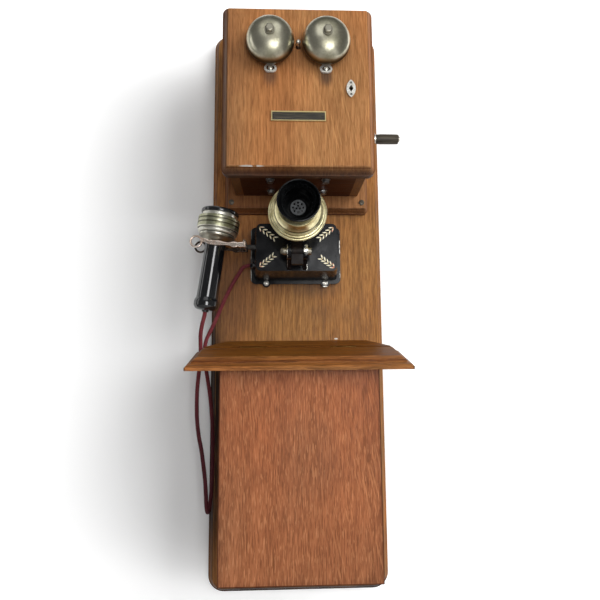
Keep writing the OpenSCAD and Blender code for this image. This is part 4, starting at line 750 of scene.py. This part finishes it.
def gilt(name, cream, gold, blush):
    """Hand-painted leaf: gold at the root, cream at the tip, and a red touch on the outermost leaves of a spray."""
    material, where = finish(name, Roughness=0.45)
    reach = coordinate(where.tree, "UV").part("Y") / leaf_length
    worn = where.cloudy(420.0, 3.0)
    colour = (worn * 0.5 + reach).between(0.2, 0.8).blend(gold, cream)
    red = abs(where.part("X") - base_x).between(0.044, 0.050) * worn.between(0.40, 0.62)
    return laid(material, worn, 0.00008, Base_Color=red.blend(colour, blush))


leaf_gilt = gilt("leaf_gilt", (1.0, 0.93, 0.70), (0.66, 0.50, 0.22), (0.66, 0.20, 0.11))
leaves = leaf_spray("gilt_leaves", leaf_gilt, sprays, 5)
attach(leaves, "case")


# Transmitter. A brass cup closed by a ringed brass face, with a flared ebonite mouthpiece screwed
# into it; the rings hold brown dirt, and a pierced grille lies across the throat. In the profiles r is
# the greatest radius, d the depth, n the neck's radius and g the depth of the throat, in millimetres.
low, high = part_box("transmitter_face")
axis_x, axis_z = (low.x + high.x) / 2, (low.z + high.z) / 2
r, d, n = (high.x - low.x) / 2 / mm, (high.y - low.y) / mm, 14.05
ringed = mm * np.array([
    (r - 3, 0), (r, 0), (r, 2.2), (r - 1.2, 3.2), (r - 2.6, 3.2), (r - 2.6, 5.4), (r - 3.6, 6.4), (r - 5, 6.4),
    (r - 5, 8.6), (r - 7.5, 11), (r - 10, 0.62 * d), (r - 12, 0.82 * d), (r - 12.6, d), (n, d), (n, d - 8),
    (r - 14.5, d - 8), (r - 12.4, 0.58 * d), (r - 8, 7), (r - 8, 2.6), (r - 3, 0)])
ring_dirt = [(0.0080, 0.0011), (0.0130, 0.0012), (0.0186, 0.0012)]
face_brass = turned_metal("face_brass", (0.95, 0.87, 0.53), (0.50, 0.42, 0.20), ring_dirt, (0.29, 0.42), 0.003, 60.0)
face = skin("ringed_face", face_brass, lathe(softened(ringed, 0.0005), (axis_x, high.y, axis_z), out_of_wall, 360))
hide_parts("transmitter_face")
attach(face, "transmitter")
low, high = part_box("transmitter_cup")
r, d = (high.x - low.x) / 2 / mm, (high.y - low.y) / mm
cup_profile = mm * np.array([
    (0, 0), (r - 12.5, 0), (r - 7, 0.2 * d), (r - 2, 0.6 * d), (r, 0.92 * d), (r, d), (r - 2, d), (r - 2, 0.92 * d),
    (r - 4, 0.64 * d), (r - 9, 0.27 * d), (r - 13.5, 2), (0, 2)])
cup = skin("brass_cup", face_brass, lathe(softened(cup_profile, 0.004), (axis_x, high.y, axis_z), out_of_wall))
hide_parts("transmitter_cup")
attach(cup, "transmitter")


def ebonite(name, ground, bloom, specular, gloss=(0.06, 0.16)):
    """Polished hard rubber: near black, with a faint brown bloom and finger marks in the gloss."""
    material, where = finish(name, Specular_IOR_Level=specular)
    smears = where.cloudy((60.0, 60.0, 24.0), 4.0, 0.6)
    return laid(material, where.cloudy(500.0), 0.00003, Base_Color=smears.between(0.45, 0.8).blend(ground, bloom),
                Roughness=smears.between(0.3, 0.7, *gloss))


black_ebonite = ebonite("black_ebonite", (0.0040, 0.0042, 0.0050), (0.014, 0.014, 0.015), 1.0)
dress(black_ebonite, "cord_gland")
low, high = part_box("mouthpiece")
r, n, d, g = (high.x - low.x) / 2 / mm, 14.0, 25.0, 5.0
horn = mm * np.array([
    (0, -g - 1), (n, -g - 1), (n, 0), (n + 4, 0.4), (r - 4, 0.45 * d), (r, d - 2), (r, d - 0.6), (r - 0.8, d),
    (r - 1.9, d), (r - 6, 0.45 * d), (n + 1.5, 3), (n - 2, 0), (n - 4, -2), (n - 4.4, 0.5 - g), (0, 1 - g)])
horn_ebonite = ebonite("horn_ebonite", (0.0020, 0.0022, 0.0026), (0.005, 0.005, 0.005), 0.3)
horn_place = (axis_x, low.y + d * mm, axis_z)
mouth = skin("mouth_horn", horn_ebonite, lathe(softened(horn, 0.0030), horn_place, out_of_wall))
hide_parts("mouthpiece")
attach(mouth, "transmitter")


def pierced_disc(name, material, radius, hole, rings, place, sink=0.001, bevel=0.00025, thick=0.0012):
    """Flat disc facing the room: its points lie on circles about the middle, and sink towards the wall wherever
    they are inside a hole; a rim and a back close it. rings lists (ring radius, number of holes)."""
    turn = np.linspace(0, 2 * np.pi, 160, endpoint=False)
    out = radius * np.linspace(0, 1, 56)[:, None]
    x, z = out * np.cos(turn), out * np.sin(turn)
    angle = np.concatenate([2 * np.pi * np.arange(count) / count for ring, count in rings])
    ring = np.concatenate([np.full(count, ring) for ring, count in rings])
    far = np.hypot(x[..., None] - ring * np.sin(angle), z[..., None] - ring * np.cos(angle)).min(-1)
    front = np.stack([x, sink * np.clip((hole - far) / bevel, 0, 1), z], -1)
    back = np.stack([np.stack([x[i], 0 * x[i] + thick, z[i]], -1) for i in (-1, 0)])
    return skin(name, material, np.concatenate([front, back]) + np.array(place))


def pierced_plate(name, plate, face):
    """Grey bronzed plate, a little mottled, and painted black as the shade in its holes, where the surface has sunk
    behind its face.
    """
    material, where = finish(name, Roughness=0.42)
    depth = where.part("Y").between(face + 0.0002, face + 0.0006)
    mottle = where.cloudy(260.0, 3.0).between(0.35, 0.7).blend(plate, [0.6 * part for part in plate])
    return laid(material, where.cloudy(900.0), 0.00004, Base_Color=depth.blend(mottle, (0.002, 0.002, 0.002)))


grille_place = (axis_x, low.y + (d + g - 1.6) * mm, axis_z)
bronze = pierced_plate("grille_bronze", (0.044, 0.049, 0.053), grille_place[1])
grille = pierced_disc("throat_grille", bronze, 9.5 * mm, 1.35 * mm, [(2.3 * mm, 3), (6.2 * mm, 8)], grille_place)
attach(grille, "transmitter")


# Receiver. A spun metal cup with bead rings on an ebonite handle, closed by an ebonite ear cap; the drum
# has lost its nickel and shows green-grey brass, and the rings are still bright. In the profiles n is the
# neck's radius, g the handle's length, b the bead's, r the drum's and c the cap's radius, in millimetres.
lean = np.radians(8.0)
leaning = ((np.cos(lean), 0, np.sin(lean)), (0, 1, 0), (-np.sin(lean), 0, np.cos(lean)))
neck_place = (-0.1135, -0.070, 0.0671)
n, g, b, r, c = 14.3, 97.0, 16.9, 28.5, 26.0
grip_profile = mm * np.array([
    (9.5, 0), (n, 0), (n - 0.4, -8), (n, -0.62 * g), (n + 0.4, 20 - g), (n + 0.9, 18 - g), (b - 0.6, 16 - g),
    (b, 13 - g), (b - 0.3, 8 - g), (b - 2.5, 4 - g), (b - 6, 2.4 - g), (4.5, 2.4 - g), (4.5, -g), (0, -g),
    (0, 18 - g), (9.5, 18 - g), (9.5, 0)])
grip = skin("receiver_grip", black_ebonite, lathe(softened(grip_profile, 0.0014), neck_place, leaning))
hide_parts("receiver_handle")
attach(grip, "receiver")
drum_profile = mm * np.array([
    (9.5, 0), (n + 0.2, 0), (n + 4.5, 5), (n + 7, 6.2), (r - 4.5, 7.2), (r - 4.5, 10.4), (r - 5.6, 11.2), (r - 2, 12.4),
    (r - 1.4, 14), (r - 2, 15.8), (r - 2.8, 16.6), (r, 17.4), (r, 22), (r - 0.5, 22.5), (r, 23), (r, 27.5),
    (r - 0.5, 28), (r, 28.5), (r, 33), (r - 1, 34), (r - 4.5, 34.5), (r - 4.5, 39.5), (r - 6.5, 39.5),
    (r - 6.5, 34.5), (r - 2.4, 32), (r - 2.4, 19), (r - 7, 12), (n + 2, 7), (9.5, 4), (9.5, 0)])
cup_end, drum_start, drum_end, grooves = 4, 11, 18, (5.5, 10, 13, 16, 19.3)


def drum_metal(name, nickel, brass, dull, grime_and_shade):
    """Nickel on the rings and the band, bare greenish brass on the drum between two corners of its profile, and grime
    and painted shade in the grooves, each at a corner or part of the way to the next; the cup below the rings is
    painted darker, as a painted dark reflection."""
    material, where = finish(name, Metallic=1.0)
    run, at = coordinate(where.tree, "UV").part("Y"), run_along(drum_profile)
    clouds = where.cloudy(75.0, 4.0, 0.6)
    bare = run.between(at[drum_start] - 0.001, at[drum_start]) * run.between(at[drum_end], at[drum_end + 1], 1.0, 0.0)
    colour = (bare * clouds.between(0.3, 0.6, 0.55, 1.0)).blend(nickel, brass)
    colour = run.between(at[cup_end + 1], at[cup_end], 0.0, 0.75).blend(colour, dull)
    dirt_and_shade = clouds.between(0.5, 0.8, 0.0, 0.6)
    for middle in np.interp(grooves, np.arange(len(at)), at):
        dirt_and_shade = dirt_and_shade.at_least(abs(run - middle).between(0.0004, 0.0014, 0.85, 0.0))
    return laid(material, where.cloudy(700.0), 0.000012, Base_Color=dirt_and_shade.blend(colour, grime_and_shade),
                Roughness=clouds.between(0.3, 0.75, 0.30, 0.48))


drum_plate = drum_metal("drum_plate", (0.90, 0.88, 0.78), (0.46, 0.46, 0.28), (0.22, 0.20, 0.14), (0.05, 0.043, 0.028))
drum = skin("receiver_drum", drum_plate, lathe(softened(drum_profile, 0.0006), neck_place, leaning))
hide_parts("receiver_cup")
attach(drum, "receiver")
inner = r - 6.7
cap_profile = mm * np.array([
    (4, 36), (inner, 36), (inner, 39.5), (c - 0.6, 39.5), (c, 40.6), (c, 43.4), (c - 1.5, 45), (c - 7, 45),
    (c - 10, 43), (8, 39), (4, 38.4), (4, 36)])
cap = skin("ear_cap", black_ebonite, lathe(softened(cap_profile, 0.0009), neck_place, leaning))
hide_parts("receiver_cap")
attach(cap, "receiver")


# Switch hook. A forged brass lever, thinly nickelled and rubbed to a copper tone: a fork whose prongs
# swell under the receiver and end in rings, on a bar that turns about a stud inside the base. All its
# sizes are in millimetres; a prong's edges are (x from the neck, height over the hook's middle).
def forged(run, wide, high):
    """Grid of a bar along X: at each x of run a rounded oblong, from wide[0] to wide[1] in Y and from high[0] to
    high[1] in Z, each a number or one number per x; its ends are drawn to a point."""
    angle = np.linspace(0, 2 * np.pi, 28, endpoint=False)[None, :]
    bulge = [np.sign(f(angle)) * np.abs(f(angle)) ** 0.6 for f in (np.cos, np.sin)]
    wide, high = [np.array([np.broadcast_to(side, run.shape) for side in pair])[..., None] for pair in (wide, high)]
    x = np.repeat(run[:, None], angle.shape[1], 1)
    y, z = [size.mean(0) + np.diff(size, axis=0)[0] / 2 * out for size, out in ((wide, bulge[0]), (high, bulge[1]))]
    grid = np.stack([x, y, z], -1)
    first, last = [0 * end + end.mean(1, keepdims=True) for end in (grid[:1], grid[-1:])]
    return np.concatenate([first, grid, last])


hook_z, hook_neck, lever_y, yoke_x, stud_x = 64.0, -113.5, -56.8, -70.5, -35.0
prong_fronts, prong_wide = (-88.4, -54.8), 3.2
ring_x, ring_z, ring_radius, ring_thick = -137.5, 65.0, 7.35, 1.4
prong_top = np.array([(-19, 6.8), (-12, 5.6), (-6, 3.4), (0, 3), (7, 2.6), (12, 0.9), (17, -0.4), (21, -0.4), (25, 1),
                      (29, 1), (32, -0.6), (34, 0.4), (43, 0.4)])
prong_bottom = np.array([(-18, -1), (-12, 0.4), (-6, -2.6), (0, -3.8), (7, -4.2), (17, -4.2), (21, -4.8), (25, -7),
                         (29, -7.2), (32, -5.6), (34, -6.6), (43, -6.6)])
prong_run = np.linspace(-18, 43, 123)
soft = np.array([1, 2, 3, 4, 3, 2, 1]) / 16
edges = [np.interp(prong_run, *edge.T) for edge in (prong_bottom, prong_top)]
edges = [hook_z + np.convolve(np.pad(edge, 3, mode="edge"), soft, mode="valid") for edge in edges]
ring_turn = np.linspace(0, 2 * np.pi, 49)[:, None]
section = np.linspace(0, 2 * np.pi, 20, endpoint=False)[None, :]
ring_out = ring_radius + ring_thick * np.cos(section)
pieces = []
for front in prong_fronts:
    pieces.append(forged(hook_neck + prong_run, (front, front + prong_wide), edges))
    ring_y = front + prong_wide / 2 * (1 + np.sin(section)) + 0 * ring_turn
    pieces.append(np.stack([ring_x + ring_out * np.cos(ring_turn), ring_y, ring_z + ring_out * np.sin(ring_turn)], -1))
yoke = forged(np.array([-88.4, -88.1, -70.0, -51.9, -51.6]), (yoke_x - 4, yoke_x), (hook_z - 6.6, hook_z + 3.5))
pieces.append(yoke[..., [1, 0, 2]])
# Painted shade: behind y = -0.074 m, at the rear prong and ring, the hook turns dark brown.
rubbed_nickel = metal("rubbed_nickel", (0.95, 0.82, 0.72), (0.58, 0.44, 0.35), (0.16, 0.30), 130.0, shine=0.85,
                      shaded_behind=-0.074)
hook = skin("forged_hook", rubbed_nickel, *[mm * piece for piece in pieces])
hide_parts("hook_lever")
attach(hook, "hook")
lever_wide = (lever_y - 2, lever_y + 2)
bar = forged(np.array([yoke_x, yoke_x + 0.3, -50.0, stud_x - 0.3, stud_x]), lever_wide, (hook_z - 3.5, hook_z + 3.5))
tail = forged(np.array([stud_x, stud_x + 0.3, -20.0, -13.3, -13.0]), lever_wide, (hook_z - 2.5, hook_z + 2.5))
hub_profile = [(3.2, 0), (7, 0), (7, 10), (3.2, 10), (3.2, 0)]
hub = lathe(softened(hub_profile, 0.5), (stud_x, -49.8, hook_z), out_of_wall, 48)
shank = skin("hook_shank", iron, mm * bar, mm * tail, mm * hub)
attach(shank, "hook")


# Shelf and battery box. A fixed strip and a hinged lid of dark oak with a moulded edge, its light and shade
# painted by depth, over a box of redder oak with a plain front; two wrapped dry cells stand inside.
def moulded(material, stops):
    """Shelf oak with light and shade painted by its depth: stops lists (depth, share of the tone) towards the room,
    with the flat top painted dark as shade, the bevel painted lit, its upper edge and the nosing painted pale as
    highlights, and painted shade in the quirk between them; the ends are darker."""
    plain = colour_on(material)
    where = coordinate(plain.tree)
    front = stops[0][0]
    reach = stops[-1][0] - front
    ramp = node(plain.tree, "ValToRGB", {0: (where.part("Y") - front) / reach})
    marks = ramp.color_ramp.elements
    for depth, share in stops[1:-1]:
        marks.new((depth - front) / reach)
    for mark, (depth, share) in zip(marks, stops):
        mark.color = share + (1,)
    half = front_outline("shelf_lid")[1][0]
    rim = abs(where.part("X")).between(half - 0.0024, half - 0.0008, 0.0, 0.75)
    return laid(material, Base_Color=rim.blend(plain.tinted(ramp.outputs[0]), (0.030, 0.013, 0.006)))


# Painted light and shade across the lid's depth: dark flat top, lit bevel, pale highlights, shaded quirk.
lid_light_and_shade = [(-0.1140, (0.46, 0.385, 0.165)), (-0.1148, (1.0, 1.0, 1.0)), (-0.1175, (0.93, 0.90, 0.86)),
             (-0.1205, (0.58, 0.48, 0.36)), (-0.1219, (0.42, 0.30, 0.20)), (-0.1226, (0.74, 0.68, 0.55)),
             (-0.1296, (0.66, 0.60, 0.46)), (-0.1312, (1.0, 0.97, 0.92))]
dress(moulded(oak("shelf_oak", (0.310, 0.130, 0.042), "X", figure=0.48, flecks=0.3), lid_light_and_shade),
      "shelf_rear_strip", "shelf_lid")
battery_centre, battery_half = front_outline("battery_front_panel")
battery_x, battery_z = battery_centre
battery_stains = [((battery_x + 0.03, battery_z + 0.02), (0.022, 0.07), 0.12),
                  ((battery_x - 0.01, battery_z + 0.03), (0.035, 0.16), 0.10),
                  ((battery_x - 0.12, battery_z - 0.02), (0.07, 0.22), 0.14)]
# Painted shade towards the outline, and a painted highlight along the edge of the front.
dress(oak("battery_oak", (0.335, 0.117, 0.047), figure=0.32, flecks=0.5, clear=0.18, fine=1.7, grime_and_shade=0.2,
          outline=(battery_centre, battery_half), worn=(0.0006, 0.6), stains_and_shade=battery_stains,
          long_rays=(battery_x + 0.01, 0.22, 0.42)), "battery_front_panel")
dress(oak("battery_side_oak", (0.200, 0.075, 0.031)), "battery_left_side", "battery_right_side")
dress(oak("battery_floor_oak", (0.190, 0.072, 0.030), "X"), "battery_bottom")


def wrapper(name, paper, stain):
    """Pasted card round a cell: fibrous, stained in clouds and rough."""
    material, where = finish(name, Roughness=0.8)
    stained = where.cloudy(30.0, 3.0).between(0.35, 0.7).blend(paper, stain)
    return laid(material, where.cloudy((300.0, 300.0, 60.0), 4.0), 0.0001, Base_Color=stained)


dress(wrapper("cell_card", (0.46, 0.32, 0.17), (0.26, 0.17, 0.09)), "dry_cells")
